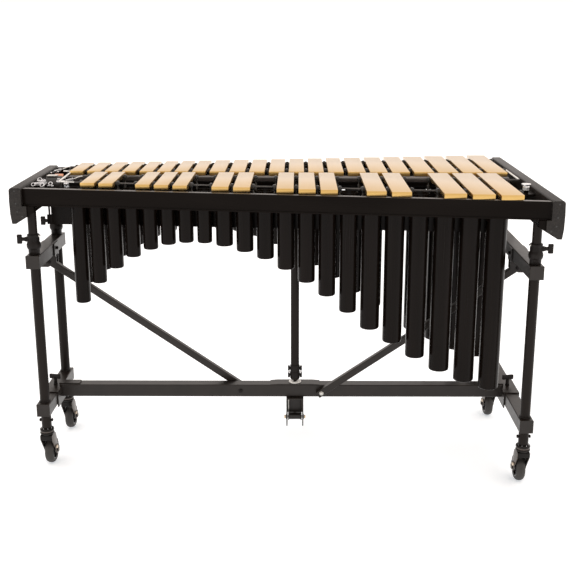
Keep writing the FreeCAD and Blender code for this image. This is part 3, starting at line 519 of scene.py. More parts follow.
# ---------------------------- sounding bars
def sounding_bars(name, row, accidental, node):
    """Gold bars with an arched underside and the rims of their cord holes."""
    piece = Piece(name, "gold")
    for x, wide in row:
        y0 = near_edge(x, accidental)
        y1 = far_edge(x, accidental)
        span = y1 - y0
        deep = 2.5 + 2.5 * span / 376.0
        half = span * 0.16
        # The side of a bar, in (y, z): the tuning arch below, both ends and the flat top.
        side = [(y0, BAR_LOW), (y0 + span / 2 - half, BAR_LOW)]
        for k in range(1, 12):
            u = -1 + 2 * k / 12
            side.append((y0 + span / 2 + u * half, BAR_LOW + deep * (1 - u * u)))
        side += [(y0 + span / 2 + half, BAR_LOW), (y1, BAR_LOW), (y1, BAR_TOP), (y0, BAR_TOP)]
        piece.prism(side, x - wide / 2, x + wide / 2, side_view(0, 0, 0), "gold", bevel=0.8, segs=2,
                    rims_only=False)
        # Countersunk rims of the cord holes in both sides.
        for far in (False, True):
            for s in (-1, 1):
                hx = x + s * (wide / 2 + 0.02)
                piece.lathe([(1.9, -0.5), (3.3, -0.5), (3.3, 0.12), (2.7, 0.18), (2.1, -0.2)],
                            frame_at((hx, node_line(hx, accidental, far), CORD_Z), outward(s)),
                            "gloss", segs=16, closed=True)
    piece.done("upper_frame", node, slot="bar_gold")


# ---------------------------- cord posts and cords
def cord_post_set():
    """The posts between the bars, each with an eye for the cord."""
    piece = Piece("cord_post_set", "gloss")
    for accidental in (False, True):
        for far in (False, True):
            for x in EDGES[accidental]:
                y = node_line(x, accidental, far)
                at = frame_at((x, y, SEAT_Z))
                piece.lathe([(0, 0), (5.2, 0), (5.2, 2.0), (4.6, 3.0), (4.6, 15.0), (4.1, 16.5),
                             (3.2, 17.0),
                             (2.6, 18.0), (2.6, 27.5), (4.2, 29.0), (4.2, 39.2), (3.2, 40.6),
                             (0, 40.8)],
                            at, "gloss", segs=16)
                for side in (3.2, -3.2):
                    piece.lathe([(2.2, -2.0), (3.0, -2.6), (3.9, -2.0), (3.9, 2.0), (3.0, 2.6), (2.2, 2.0)],
                                frame_at((x + side, y, CORD_Z), "x"), "gloss", segs=14, closed=True)
    piece.done("upper_frame", "cord_posts", slot="post_black")


def suspension_cords():
    """Four runs through the bars, coloured dark as painted shade, tied off in white at both ends of the
    frame.
    """
    piece = Piece("suspension_cords", "cord", "chrome", "cord_painted_shade")
    ends = {}
    for accidental in (False, True):
        left = min(EDGES[accidental]) - 20.0
        right = max(EDGES[accidental]) + 8.0
        for far in (False, True):
            places = [left + (right - left) * k / 120 for k in range(121)]
            run = [(x, node_line(x, accidental, far), CORD_Z) for x in places]
            piece.wire(run, 1.8, "cord_painted_shade", segs=10)
            ends[(accidental, far)] = (run[0], run[-1])
    # At the narrow end a spring draws each row's farther run to a hook; the two nearer runs join.
    for last in (ends[(True, True)][0], ends[(False, True)][0]):
        tip = (last[0] - 22.0, last[1] - 9.0, last[2] - 6.0)
        piece.wire(bend(last, (last[0] - 9, last[1], last[2]), tip), 1.5, "cord", segs=10)
        spring(piece, tip, (tip[0] - 26.0, tip[1] - 16.0, tip[2] - 6.0), 3.8, 9, 0.75)
    joined, clip = ends[(False, False)][0], (-610.5, -112.0, 856.0)
    piece.wire(bend(joined, (-613.5, joined[1], joined[2]), (-613.4, joined[1] - 12, 857.0))
               + [(-612.4, -20.0, 856.6), clip], 2.3, "cord", segs=10)
    for low in ((-618.0, -119.0, 852.6), (-604.0, -121.5, 853.4)):
        piece.block(low, (low[0] + 10.0, low[1] + 6.0, low[2] + 5.0), "chrome", 1.4)
    piece.wire([clip, (-606.0, -124.0, 856.0), ends[(True, False)][0]], 1.5, "cord", segs=10)
    # At the wide end the two inner runs are one cord; its runs carry the painted shade and its turn is
    # white.
    near, far = ends[(True, True)][1], ends[(False, False)][1]
    turn_x = 667.0
    piece.wire(bend(near, (turn_x, near[1], near[2]), (turn_x, near[1] + 12, near[2])), 1.8, "cord_painted_shade",
               segs=10)
    piece.wire([(turn_x, near[1] + 12, near[2]), (turn_x, 0.5 * (near[1] + far[1]), near[2])]
               + bend((turn_x, far[1] - 12, far[2]), (turn_x, far[1], far[2]), far), 2.5, "cord", segs=10)
    piece.done("upper_frame", "bar_cords", slot="cord_white")


# ---------------------------- resonators
def tube_foot(node, x, y):
    """The height of the closed foot of the tube that stands at x, y, read from its CAD mesh."""
    own = [v.co.z for v in NODES[node].data.vertices
           if abs(v.co.x / MM - x) < 20.0 and abs(v.co.y / MM - y) < 30.0]
    return round(min(own) / MM, 2)


def resonator_bank(name, rear, node):
    """One row of open tubes with closed feet; a tube is as wide as the bar above it allows."""
    piece = Piece(name, "tube")
    radius_of = {57.15: 28.5, 50.8: 27.0, 44.45: 24.0, 38.1: 21.0}
    places = [x for x, wide in NATURALS] if rear else GAPS
    widths = [wide for x, wide in NATURALS][0 if rear else 1:]
    for x, wide in reversed(list(zip(places, widths))):
        r = radius_of[wide]
        foot = tube_foot(node, x, bank_line(x, rear))
        profile = [(0, foot), (r - 5.0, foot), (r - 2.4, foot + 0.5), (r - 0.8, foot + 1.9),
                   (r - 0.15, foot + 4.2),
                   (r, foot + 7.0), (r, TUBE_TOP - 60), (r, TUBE_TOP - 0.7), (r - 0.3, TUBE_TOP - 0.15),
                   (r - 0.7, TUBE_TOP), (r - 1.1, TUBE_TOP - 0.15), (r - 1.4, TUBE_TOP - 0.7),
                   (r - 1.4, foot + 4.0), (r - 4.0, foot + 2.6), (0, foot + 2.6)]
        piece.lathe(profile, frame_at((x, bank_line(x, rear), 0)), "tube", segs=56)
    piece.done("upper_frame", node, slot="resonator_black")


def resonator_rivets():
    """Two rivets in each tube, towards its rail."""
    piece = Piece("resonator_rivets", "zinc")
    for rear in (False, True):
        sign = -1 if rear else 1
        turn = (0, sign, 0)
        spots = [x for x, _ in NATURALS] if rear else GAPS
        for x in spots:
            y = bank_line(x, rear) + sign * (on_line(x, 23.8, 34.8) + 1.3)
            for z in RIVET_HEIGHTS:
                piece.lathe([(0, -0.4), (3.0, -0.4), (3.0, 0.2), (2.4, 1.1), (1.2, 1.6), (0, 1.7)],
                            frame_at((x, y, z), turn), "zinc", segs=14)
    piece.done("upper_frame")


# ---------------------------- painted highlights on the upper edges of the long rails
def rail_edge_painted_highlights():
    """Thin pale strips on the upper edges of the front and rear rails: a painted highlight."""
    piece = Piece("rail_edge_painted_highlights", "edge_painted_highlight")
    for s in (-1, 1):
        ends_at = []
        for x in (-691.0, 683.4):
            y = on_line(x, -212.0, -386.0)
            ends_at.append(Vector((x, s * -y, RAIL_TOP)))
        run = ends_at[1] - ends_at[0]
        turn = Matrix.Translation(ends_at[0] * MM) @ Matrix.Rotation(math.atan2(run.y, run.x), 4, "Z")
        inner = -s
        low, high = sorted((inner * 0.9, inner * (RAIL_THICK - 0.9)))
        # A thin pale strip along the rail's top: painted highlight.
        piece.block((0, low, 0.05), (run.length, high, 0.55), "edge_painted_highlight", 0.2, turn, 2)
    piece.done("upper_frame")


# ---------------------------- end panels
def end_panel(end, word, out, middle, length):
    """An extruded end panel with a moulded cap at each end; its outer face is at x = out."""
    piece = Piece("panel_" + word, "panel", "gloss")
    top = 853.0
    body = filleted([(0.0, 0.0), (-31.6, 0.0), (-31.6, -49.0), (-11.8, -49.0), (-11.8, -98.0),
                     (-3.0, -98.0),
                     (0.4, -72.0), (1.2, -36.0)], [7.0, 5.0, 1.0, 1.0, 0.8, 2.5, 30.0, 60.0], 6)
    cap = filleted([(0.0, 0.0), (-31.6, 0.0), (-31.6, -49.3), (-44.0, -49.3), (-44.0, -78.8),
                    (-14.0, -97.6), (-3.0, -98.0), (0.4, -72.0), (1.2, -36.0)],
                   [7.0, 5.0, 1.0, 2.0, 3.0, 5.0, 2.5, 30.0, 60.0], 6)
    # The outlines' x runs outward and their y up, and they are extruded along the panel.
    base = Matrix(((end, 0, 0, out * MM), (0, 0, 1, middle * MM), (0, 1, 0, top * MM), (0, 0, 0, 1)))
    half = length / 2
    piece.prism(body, -half + 6.2, half - 6.2, base, "panel", bevel=0.7)
    piece.prism(cap, -half + 0.9, -half + 5.8, base, "panel", bevel=2.0, segs=4)
    piece.prism(cap, half - 5.8, half - 0.9, base, "panel", bevel=2.0, segs=4)
    for s in (-1, 1):
        for dx, dz in ((-15.0, -8.0), (-17.0, -42.0), (-19.5, -64.0), (-32.0, -77.0)):
            at = (out + end * dx, middle + s * (half - 0.9), top + dz)
            piece.lathe([(0, -0.6), (2.3, -0.6), (2.3, 0.2), (1.5, 0.7), (0, 0.8)],
                        frame_at(at, "-y" if s < 0 else "y"), "gloss", segs=18)
    piece.done("upper_frame", "end_panel_" + word, slot="panel_black")


# ---------------------------- clamps and knobs
def wing(piece, where, reach, tall, bite):
    """A T knob: a stem, a ribbed hub and a winged grip; local Z points outward."""
    piece.lathe([(0, -bite), (3.0, -bite), (3.0, 0.0), (6.4, 0.4), (6.4, 2.2), (5.4, 3.0),
                 (5.4, reach - 15.0),
                 (6.6, reach - 13.5), (6.6, reach - 10), (0, reach - 10)], where, "knob", segs=28, ribs=14,
                rib=0.012)
    half = tall / 2
    grip = filleted([(-5.4, -half), (5.4, -half), (3.6, 0), (5.4, half), (-5.4, half), (-3.6, 0)],
                    [4.2, 4.2, 30, 4.2, 4.2, 30], 5)
    piece.prism(grip, reach - 13.8, reach, where, "knob", bevel=2.4, segs=4)
    for x in (-4.2, 4.2):
        for k in range(3):
            for y in (-half + 3.2 + k * 2.4, half - 4.2 - k * 2.4):
                piece.block((x - 0.5, y, reach - 11.5), (x + 0.5, y + 1.0, reach - 2.6), "knob", 0.35,
                            where, 2)


def height_clamps():
    """The four moulded clamps on top of the outer posts."""
    piece = Piece("height_clamp_set", "knob", "zinc")
    for end, s, word in CORNERS:
        at = frame_at((end * POST_X, s * POST_Y[end], CLAMP_FOOT))
        piece.lathe([(14.6, 0.1), (15.5, 0.1), (15.9, 0.7), (15.9, 12.4), (16.6, 14.4), (18.4, 16.6),
                     (19.6, 20.4),
                     (20.0, 22.0), (20.0, 27.2), (19.5, 29.4), (18.2, 33.0), (16.3, 36.2),
                     (15.9, 37.4),
                     (15.9, 47.4), (16.7, 48.4), (17.0, 49.4), (17.0, 55.4), (16.6, 56.4),
                     (15.8, 56.9),
                     (13.9, 56.9), (13.2, 56.2), (13.2, 44.2), (14.6, 43.8)], at, "knob", segs=48,
                    ribs=8,
                    rib=0.008, closed=True)
        for k in range(12):
            a = 2 * math.pi * (k + 0.5) / 12
            rib = frame_at((end * POST_X, s * POST_Y[end], CLAMP_FOOT), "z", a)
            piece.block((15.2, -0.8, 36.5), (16.9, 0.8, 47.8), "knob", 0.4, rib, 2)
        boss = frame_at((end * (POST_X + 12.6), s * POST_Y[end], CLAMP_FOOT + 42.0), outward(end))
        piece.lathe([(3.5, 0), (7.4, 0), (7.4, 8.4), (6.6, 9.3), (3.5, 9.3)], boss, "knob", segs=30,
                    closed=True)
        # The split of the clamp ring with its small pinch screw.
        pinch = frame_at((end * POST_X - end * 17.6, s * POST_Y[end] - 5.5, CLAMP_FOOT + 52.4), "y")
        piece.lathe([(0, 0), (2.2, 0), (2.2, 11.0), (0, 11.0)], pinch, "zinc", segs=16)
    piece.done("stand", "height_clamps", slot="knob_black")


def clamp_knob(end, s, word):
    """The T knob that tightens a height clamp."""
    piece = Piece("clamp_knob_" + word, "knob")
    wing(piece, frame_at((end * (POST_X + 22.0), s * POST_Y[end], CLAMP_FOOT + 42.0), outward(end)),
         23.9, 27.0, 7.0)
    piece.done("knob_" + word, "height_knob_" + word, slot="knob_black")


def saddle_knob(end, word):
    """The T knob on top of the saddle that joins the long beam to a crossbar."""
    piece = Piece("saddle_knob_" + word, "knob")
    wing(piece, frame_at((end * POST_X, 0, SADDLE_TOP), "z", math.radians(90 + 10 * end)), 31.9, 36.0, 3.5)
    piece.done("beam_knob_" + word, "beam_knob_" + word, slot="knob_black")


def rod_clamp():
    """The grip on the damper rod, with two pairs of wing screws."""
    piece = Piece("rod_clamp_body", "knob", "chrome")
    at = frame_at((ROD_X, 0, 0))
    piece.lathe([(4.9, 229.5), (10.4, 229.5), (11.6, 230.2), (13.0, 231.6), (13.5, 234.0), (14.4, 235.2),
                 (14.5, 236.2), (14.5, 256.0), (13.7, 257.0), (13.7, 259.0), (14.5, 260.0), (14.5, 274.6),
                 (13.6, 276.4), (11.6, 276.9), (11.4, 276.2), (11.4, 236.6), (4.9, 236.3)], at, "knob",
                segs=40, closed=True)
    for k in range(10):
        piece.block((13.9, -0.8, 238.0), (15.0, 0.8, 254.0), "knob", 0.4,
                    frame_at((ROD_X, 0, 0), "z", 2 * math.pi * (k + 0.5) / 10), 2)
    lower = 245.0
    for z, half in ((lower, 9.4), (265.5, 7.9)):
        for s in (-1, 1):
            w = frame_at((ROD_X + s * 13.4, 0, z), outward(s))
            piece.lathe([(0, -1), (4.6, -1), (4.6, 2.6), (0, 2.6)], w, "knob", segs=20)
            shape = filleted([(-5.4, -half), (5.4, -half), (4.2, 0), (5.4, half), (-5.4, half), (-4.2, 0)],
                             [4, 4, 14, 4, 4, 14], 4)
            piece.prism(shape, 1.8, 8.0, w, "knob", bevel=1.8, segs=3)
            if z == lower:
                piece.prism(filleted([(-4.6, 3.6), (4.6, 3.6), (4.9, half + 0.4), (-4.9, half + 0.4)],
                                     [2, 2, 3, 3], 4),
                            1.5, 6.4, w, "chrome", bevel=1.4, segs=3)
    piece.done("rod", "rod_clamp", slot="knob_black")


# ---------------------------- bolts of the stand
def bolt(piece, at, axis, long, radius, nut, finish_name):
    """A hexagon screw: washer and head below the origin, shank, and a nut past its length."""
    where = frame_at(at, axis)
    piece.lathe([(0, -0.1), (radius, -0.1), (radius + 0.3, -0.5), (radius, -1.1), (0, -1.1)], where,
                finish_name, segs=28)
    piece.prism(hexagon(radius * 0.9), -4.6, -1.0, where, finish_name, bevel=0.6)
    piece.lathe([(0, -1), (3.0, -1), (3.0, long + 1), (0, long + 1)], where, finish_name, segs=20)
    piece.prism(hexagon(nut), long + 0.2, long + 4.2, where, finish_name, bevel=0.6)
    piece.lathe([(0, long + 3), (2.6, long + 3), (2.6, long + 4.6), (2.0, long + 5.0), (0, long + 5.0)],
                where, finish_name, segs=18)


def stand_bolts():
    """The bolts of the stand, the pedal's pin, and the washer and screw beside the rod."""
    piece = Piece("stand_bolts", "knob", "zinc", "nylon", "brass")
    for end, s, word in CORNERS:
        bolt(piece, (end * POST_X - 15.3, s * POST_Y[end], 150.0), "x", 30.4, 5.2, 4.8, "knob")
    # Each brace: its foot on the beam, its head under the crossbar, and its nearer and farther face there.
    for end, foot, head, near, y0, y1, kind in (
            (-1, (-123.0, 198.2), (-POST_X, 592.6), 19.35, -19.05, 38.35, "knob"),
            (1, (122.0, 198.4), (POST_X, 590.0), -38.35, -38.35, 19.05, "zinc")):
        bolt(piece, (foot[0], y0 - 0.1, foot[1]), "y", y1 - y0 + 0.2, 6.3, 5.4, kind)
        bolt(piece, (head[0], near - 3.2, head[1]), "y", 25.4, 5.8, 5.4, "knob")
        bolt(piece, (end * (POST_X + 22.9), -end * 28.8, 633.5), outward(-end), 45.8, 5.8, 5.2, "knob")
    for s in (-1, 1):
        piece.lathe([(0, 0), (4.9, 0), (5.4, 0.5), (5.4, 2.0), (4.6, 2.9), (0, 3.1)],
                    frame_at((ROD_X + s * 29.0, PIVOT_Y, PIVOT_Z), outward(s)), "brass", segs=28)
    piece.lathe([(0, -29.5), (3.9, -29.5), (3.9, 29.5), (0, 29.5)],
                frame_at((ROD_X, PIVOT_Y, PIVOT_Z), "x"), "zinc", segs=24)
    piece.lathe([(6.4, 221.5), (17.6, 221.5), (18.8, 222.4), (18.9, 223.0), (17.6, 223.9), (7.0, 224.0),
                 (6.4, 223.6)],
                frame_at((ROD_X, 0, 0)), "nylon", segs=48, closed=True)
    piece.lathe([(0, 0), (3.6, 0), (3.6, 1.2), (2.6, 2.4), (0, 2.8)],
                frame_at((ROD_X, -10.1, 170.0), "-y"), "zinc", segs=24)
    piece.done("stand", "stand_fasteners", slot="zinc")


# ---------------------------- pedal and its bracket
def bracket_shell():
    """The channel under the beam: two cheeks, a web with bright strips in its corners as painted
    highlights, and a roof round the rod.
    """
    piece = Piece("bracket_shell", "steel", "painted_lit_steel", "zinc")
    cheek = filleted([(-34, 88.2), (18, 88.2), (18, 179.2), (-34, 179.2)], [5, 5, 1, 4], 5)
    for s in (-1, 1):
        piece.prism(cheek, s * 24.2 - 1.7, s * 24.2 + 1.7, side_view(ROD_X, 0, 0), "steel", bevel=0.7,
                    segs=3)
        # Bright strips in the web's corners are painted highlights: zinc in the -x corner, the paler
        # painted-light steel in the +x corner.
        reach = 4.6 if s < 0 else 2.2
        rib = [(math.cos(math.pi * k / 12) * reach * 0.55, -9.6 - math.sin(math.pi * k / 12) * reach * 0.55)
               for k in range(13)]
        piece.prism(rib[::-1], 127.4, 174.6, frame_at((ROD_X + s * (22.4 - reach * 0.55), 0, 0)),
                    "zinc" if s < 0 else "painted_lit_steel", bevel=0.3, segs=2)
    for x0, y0, x1, y1 in ((-25.8, -33.8, -7.5, 17.8), (7.5, -33.8, 25.8, 17.8), (-7.6, -33.8, 7.6, -6.8),
                           (-7.6, 6.8, 7.6, 17.8)):
        piece.block((ROD_X + x0, y0, 175.4), (ROD_X + x1, y1, 179.2), "steel", 1.0)
    piece.block((ROD_X - 23.6, -9.9, 125.6), (ROD_X + 23.6, -7.1, 176.4), "steel", 0.8)
    for s in (-1, 1):
        piece.lathe([(4.4, 0), (8.0, 0), (8.0, 0.8), (7.2, 1.5), (4.4, 1.5)],
                    frame_at((ROD_X + s * 25.9, PIVOT_Y, PIVOT_Z), outward(s)), "steel", segs=30,
                    closed=True)
    piece.done("stand", "pedal_bracket", slot="black_steel")


def pedal_tread():
    """The pedal: a folded board with grip ridges on the player's side, and the sleeve on its pin."""
    piece = Piece("pedal_tread", "steel", "knob", "zinc")
    half = 20.5
    board = filleted([(-half, -31.0), (half, -31.0), (half, 243.5), (-half, 243.5)], [3, 3, 9, 9], 6)
    piece.prism(board, 119.2, 123.9, frame_at((ROD_X, 0, 0)), "steel", bevel=1.2, segs=3)
    for s in (-1, 1):
        side = filleted([(-31, 107.1), (115, 107.1), (119, 111), (119, 119.6), (-31, 119.6)],
                        [4, 6, 2, 1, 1], 5)
        piece.prism(side, s * 19.0 - 1.5, s * 19.0 + 1.5, side_view(ROD_X, 0, 0), "steel", bevel=0.6,
                    segs=2)
    piece.lathe([(4.5, -half), (7.9, -half), (7.9, half), (4.5, half)],
                frame_at((ROD_X, PIVOT_Y, PIVOT_Z), "x"), "steel", segs=36, closed=True)
    for k in range(15):
        y = 92.0 + 10.0 * k
        piece.block((ROD_X - half + 3.0, y, 123.4), (ROD_X + half - 3.0, y + 5.2, 124.7), "knob", 0.6)
    for y in (40.0, 66.0):
        piece.lathe([(0, -0.4), (4.2, -0.4), (4.2, 0.4), (3.2, 1.3), (0, 1.7)],
                    frame_at((ROD_X, y, 123.9)), "zinc", segs=24)
    piece.done("pedal", "damper_pedal", slot="black_steel")


# ---------------------------- casters
def caster_fork(x0, y0, inward, word):
    """The stem, the two-race swivel head and the fork; the inward leg is coloured paler as painted light on
    its lit side.
    """
    ya = y0 + TRAIL
    piece = Piece("fork_" + word, "hub", "steel", "zinc")
    head = frame_at((x0, y0, 105.5))
    piece.lathe([(0, 0), (16.2, 0), (18.6, 1.3), (20.1, 3.2), (20.5, 4.6), (20.5, 7.2), (19.9, 8.5),
                 (19.0, 9.0), (0, 9.0)], head, "hub", segs=44)
    # The middle race in the paler steel: a painted highlight along the head's rim.
    piece.lathe([(0, 9.2), (18.7, 9.2), (19.0, 9.7), (19.0, 12.2), (18.7, 12.8), (0, 12.8)], head,
                "painted_lit_steel", segs=44)
    piece.lathe([(0, 13.0), (19.4, 13.0), (20.3, 13.8), (20.5, 14.8), (20.5, 17.4), (19.6, 19.0),
                 (16.0, 21.5),
                 (12.0, 22.2), (10.5, 22.7), (10.5, 34.0), (9.2, 35.4), (0, 35.4)], head, "hub", segs=44)
    for k in range(8):
        a = 2 * math.pi * k / 8 + 0.4
        piece.lathe([(0, 0), (1.5, 0), (1.5, 0.8), (0.8, 1.3), (0, 1.4)],
                    frame_at((x0 + 15.4 * math.cos(a), y0 + 15.4 * math.sin(a), 126.4)), "chrome", segs=12)
    leg = filleted([(-17, 105.4), (-17, 92.5), (21, 42), (26, 29), (36, 26), (46, 30), (49, 40),
                    (28, 96.5), (17, 105.4)], [2, 7, 26, 8, 9, 8, 8, 18, 4], 6)
    rim = filleted([(-12.4, 100.0), (-12.4, 94.0), (24.4, 44.6), (29, 34), (36, 31), (43, 34), (44.6, 40.6),
                    (25, 94.0), (14.5, 100.0)], [2, 6, 24, 7, 8, 7, 7, 16, 3], 5)
    lane = side_view(x0, y0, 0)
    for side in (-1, 1):
        c = side * 16.6
        # The inward leg takes the paler steel as painted light; the other leg is the plain black steel.
        kind = "painted_lit_steel" if side == inward else "steel"
        piece.prism(leg, c - 1.25, c + 1.25, lane, kind, bevel=0.8, segs=3)
        piece.prism(rim, side * 17.7 - 0.4, side * 17.7 + 0.4, lane, kind, bevel=0.35, segs=2)
    piece.block((x0 - 17.8, y0 - 17.0, 90.6), (x0 + 17.8, y0 - 14.5, 105.6), "hub", 1.0)
    piece.block((x0 - 17.8, y0 - 17.0, 102.8), (x0 + 17.8, y0 + 17.0, 105.7), "hub", 1.2)
    piece.prism(hexagon(7.0), 0.1, 3.4, frame_at((x0 - inward * 17.9, ya, WHEEL_Z), outward(-inward)),
                "zinc", bevel=0.7)
    piece.lathe([(0, 0), (4.0, 0), (4.0, 41.0), (0, 41.0)],
                frame_at((x0 - inward * 18.6, ya, WHEEL_Z), outward(inward)), "zinc", segs=24)
    piece.prism(hexagon(6.2), 21.5, 23.4, frame_at((x0, ya, WHEEL_Z), outward(inward)), "zinc", bevel=0.5)
    piece.done("caster_" + word, "caster_fork_" + word, slot="black_steel")


def caster_wheel(x0, ya, word):
    """A grooved tyre on a six-spoke hub."""
    piece = Piece("wheel_" + word, "tyre", "hub", "zinc")
    axle = frame_at((x0, ya, WHEEL_Z), "x")
    piece.lathe([(29.2, -11.6), (31.4, -12.7), (33.6, -12.5), (36.0, -11.0), (37.8, -8.8), (39.1, -5.8),
                 (39.8, -2.6), (40.0, -0.8), (39.6, -0.4), (39.6, 0.4), (40.0, 0.8), (39.8, 2.6),
                 (39.1, 5.8),
                 (37.8, 8.8), (36.0, 11.0), (33.6, 12.5), (31.4, 12.7), (29.2, 11.6)], axle, "tyre",
                segs=80, closed=True)
    piece.lathe([(25.2, -11.2), (28.7, -12.0), (29.0, -10.6), (29.0, 10.6), (28.7, 12.0), (25.2, 11.2),
                 (24.6, 5.0), (24.6, -5.0)], axle, "hub", segs=60, closed=True)
    piece.lathe([(10.5, -3.2), (25.0, -4.2), (25.0, 4.2), (10.5, 3.2)], axle, "hub", segs=48, closed=True)
    piece.lathe([(4.4, -12.8), (9.6, -12.8), (10.6, -11.6), (11.0, -3.0), (11.0, 3.0), (10.6, 11.6),
                 (9.6, 12.8), (4.4, 12.8)], axle, "hub", segs=36, closed=True)
    for k in range(6):
        piece.block((10.6, -1.6, -9.0), (25.2, 1.6, 9.0), "hub", 0.8,
                    axle @ Matrix.Rotation(math.pi * k / 3, 4, "Z"), 2)
    for side in (-1, 1):
        piece.lathe([(4.4, 0), (7.4, 0), (7.4, 0.5), (4.4, 0.5)],
                    frame_at((x0 + side * 12.8, ya, WHEEL_Z), outward(side)), "zinc", segs=30,
                    closed=True)
    piece.done("wheel_" + word, "caster_wheel_" + word, slot="tyre")


def caster_brake(x0, ya, inward, word):
    """The brake lever beside the inward leg, with its cream tab."""
    piece = Piece("brake_" + word, "hub", "cream")
    lane = side_view(x0 + inward * 19.9, ya, WHEEL_Z)
    shape = filleted([(-9, -7), (9, -7), (9, 8), (4, 17), (-22, 20), (-22, 13), (-9, 7)],
                     [7, 7, 5, 5, 2, 2, 3], 5)
    piece.prism(shape, -1.15, 1.15, lane, "hub", bevel=0.6, segs=2)
    near, far = x0 + inward * 18.8, x0 + inward * 24.1
    piece.block((min(near, far), ya - 23.0, 52.1), (max(near, far), ya - 14.0, 60.9), "cream", 2.0, None, 4)
    piece.done("brake_" + word, "caster_brake_" + word, slot="tab_cream")


# ---------------------------- small parts at the ends
def damper_knob():
    """The chrome knob at the wide end that sets the damper."""
    piece = Piece("knob_of_damper", "chrome", "satin")
    at = frame_at((664.0, -188.0, 844.6))
    piece.lathe([(0, 0.1), (8.6, 0.1), (9.0, 0.6), (9.0, 1.8), (8.4, 2.3), (7.4, 2.5), (0, 2.5)],
                at, "satin", segs=40)
    piece.lathe([(0, 2.4), (8.2, 2.4), (8.7, 3.0), (8.7, 12.0), (8.2, 12.6), (0, 12.6)],
                at, "satin", segs=72, ribs=18, rib=0.04)
    piece.lathe([(0, 12.5), (9.0, 12.6), (12.2, 13.8), (12.9, 14.9), (12.9, 16.8), (12.0, 17.8),
                 (10.6, 18.1), (0, 18.2)],
                at, "chrome", segs=48)
    piece.done("damper_adjust", "damper_knob", slot="chrome")


def narrow_end_hardware():
    """Springs, rings, clips, the motor's bright sleeve and dark blocks on the narrow end beam."""
    piece = Piece("narrow_end_hardware", "chrome", "zinc", "copper", "hub")
    for at, to in (((-688.0, -60.0, 847.0), (-655.0, -74.0, 846.0)),
                   ((-688.0, -92.0, 844.0), (-652.0, -104.0, 846.0))):
        spring(piece, at, to, 4.0, 9, 0.9)
    for cx, cy, cz, r in ((-684.0, -42.0, 848.0, 6.0), (-671.0, -50.0, 846.0, 5.0),
                          (-658.0, -118.0, 846.0, 5.5),
                          (-640.0, -96.0, 846.0, 5.0), (-684.0, -112.0, 846.0, 5.0)):
        piece.wire([(cx + r * math.cos(t), cy + r * 0.5 * math.sin(t), cz + r * 0.8 * math.sin(t))
                    for t in (2 * math.pi * k / 20 for k in range(20))], 1.2, "chrome", segs=8, loop=True)
    for x, y, z, sx, sy, sz, kind in (
            (-636.0, -38.0, 846.5, 9, 5, 4, "chrome"), (-620.0, -36.0, 850.0, 8, 5, 3, "chrome"),
            (-656.0, -72.0, 834.0, 18, 4, 3, "chrome"), (-676.0, 2.0, 851.0, 30, 26, 1.6, "zinc"),
            (-690.0, -110.0, END_BEAM_TOP, 34, 22, 12, "hub"),
            (-688.0, -60.0, END_BEAM_TOP, 30, 18, 18, "hub"),
            (-690.0, 44.0, END_BEAM_TOP, 18, 60, 16, "hub"),
            (-662.0, 100.0, END_BEAM_TOP, 26, 30, 10, "hub")):
        piece.block((x, y, z), (x + sx, y + sy, z + sz), kind, min(sx, sy, sz) * 0.3)
    grooves = [(8.6 - 0.5 * (k % 2), 1.2 + k * 1.2) for k in range(1, 20)]
    piece.lathe([(0, 0), (7.6, 0), (8.6, 1.2)] + grooves + [(7.6, 26.0), (0, 26.0)],
                frame_at((-666.0, 60.0, 841.0), "x"), "copper", segs=28)
    for x, y in ((-681.0, 125.0), (-668.0, 108.0), (-684.0, 90.0)):
        piece.lathe([(0, 0), (3.4, 0), (3.4, 3.0), (1.6, 4.0), (1.6, 20.0), (3.0, 21.0), (3.0, 26.0),
                     (2.2, 27.0), (0, 27.2)], frame_at((x, y, END_BEAM_TOP)), "chrome", segs=18)
    piece.done("upper_frame")


# ---------------------------- the whole instrument
sounding_bars("bars_natural_low", NATURALS[:7], False, "natural_bars_low")
sounding_bars("bars_natural_high", NATURALS[7:], False, "natural_bars_high")
sounding_bars("bars_accidental_low", ACCIDENTALS[:5], True, "accidental_bars_low")
sounding_bars("bars_accidental_high", ACCIDENTALS[5:], True, "accidental_bars_high")
cord_post_set()
suspension_cords()
resonator_bank("resonators_front", False, "front_resonators")
resonator_bank("resonators_rear", True, "rear_resonators")
resonator_rivets()
rail_edge_painted_highlights()
end_panel(-1, "high", -723.6, -2.0, 422.0)
end_panel(1, "low", 715.9, 0.0, 794.0)
height_clamps()
for end, s, word in CORNERS:
    clamp_knob(end, s, word)
for end, word in ENDS:
    saddle_knob(end, word)
rod_clamp()
stand_bolts()
bracket_shell()
pedal_tread()
for end, s, word in CORNERS:
    stem_x, stem_y = end * POST_X, s * POST_Y[end]
    caster_fork(stem_x, stem_y, -end, word)
    caster_wheel(stem_x, stem_y + TRAIL, word)
    caster_brake(stem_x, stem_y + TRAIL, -end, word)
damper_knob()
narrow_end_hardware()


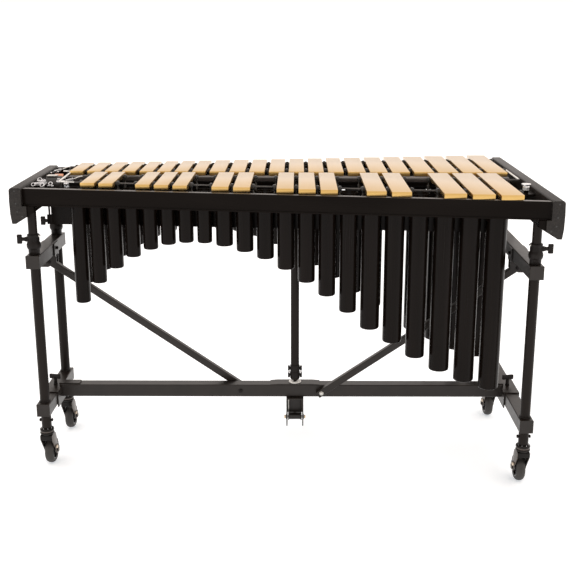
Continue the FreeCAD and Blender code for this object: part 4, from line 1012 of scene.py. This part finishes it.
# ---------------------------- stage, light, camera
def floor():
    """A wide sheet of white paper under the wheels, with a little light of its own."""
    bm = bmesh.new()
    bmesh.ops.create_grid(bm, x_segments=2, y_segments=2, size=30.0)
    me = bpy.data.meshes.new("floor")
    bm.to_mesh(me)
    bm.free()
    o = bpy.data.objects.new("floor", me)
    bpy.context.collection.objects.link(o)
    o.location = (0, 0, -0.0005)
    surface, tree, shader = material("floor_paper")
    cloud = noise(tree, 3.0, coords(tree, (1, 1, 1)))
    tree.links.new(ramp(tree, cloud, [(0.3, (0.90, 0.90, 0.90)), (0.7, (0.92, 0.92, 0.92))]),
                   shader.inputs["Base Color"])
    shader.inputs["Roughness"].default_value = 0.9
    shader.inputs["Specular IOR Level"].default_value = 0.1
    shader.inputs["Emission Color"].default_value = (0.86, 0.94, 1.0, 1.0)
    shader.inputs["Emission Strength"].default_value = 0.40
    me.materials.append(surface)


def area(name, at, look, size, power, size_y):
    """A rectangular soft light that faces the point look."""
    li = bpy.data.lights.new(name, "AREA")
    li.energy = power
    li.shape = "RECTANGLE"
    li.size = size
    li.size_y = size_y
    o = bpy.data.objects.new(name, li)
    bpy.context.collection.objects.link(o)
    o.location = at
    o.rotation_euler = (Vector(look) - Vector(at)).to_track_quat("-Z", "Y").to_euler()


def studio():
    """An even, warm white room."""
    world = bpy.data.worlds.new("studio")
    bpy.context.scene.world = world
    world.use_nodes = True
    back = world.node_tree.nodes["Background"]
    back.inputs["Color"].default_value = (1.0, 0.925, 0.875, 1.0)
    back.inputs["Strength"].default_value = 1.16


def camera():
    """The viewpoint: from the audience, a little left of the middle and above the bars."""
    cam = bpy.data.cameras.new("camera")
    cam.sensor_width = 36.0
    cam.lens = 60.2164174
    cam.shift_x = -0.01045217
    cam.shift_y = -0.01412174
    cam.clip_end = 100.0
    eye = bpy.data.objects.new("camera", cam)
    bpy.context.collection.objects.link(eye)
    eye.location = (0.0519, -2.7526, 1.2878)
    eye.rotation_euler = (math.pi / 2 - 0.2638, 0.0, 0.0052)
    bpy.context.scene.camera = eye
    bpy.context.scene.view_settings.view_transform = "Standard"


floor()
studio()
camera()
area("overhead", (0.0, 0.8, 3.6), (0, 0, 0.5), 4.0, 16.0, 2.6)
area("front_left", (-2.4, -2.6, 1.5), (0, 0, 0.6), 0.5, 5.0, 1.8)
area("front_right", (2.6, -2.4, 1.5), (0, 0, 0.6), 0.5, 4.0, 1.8)
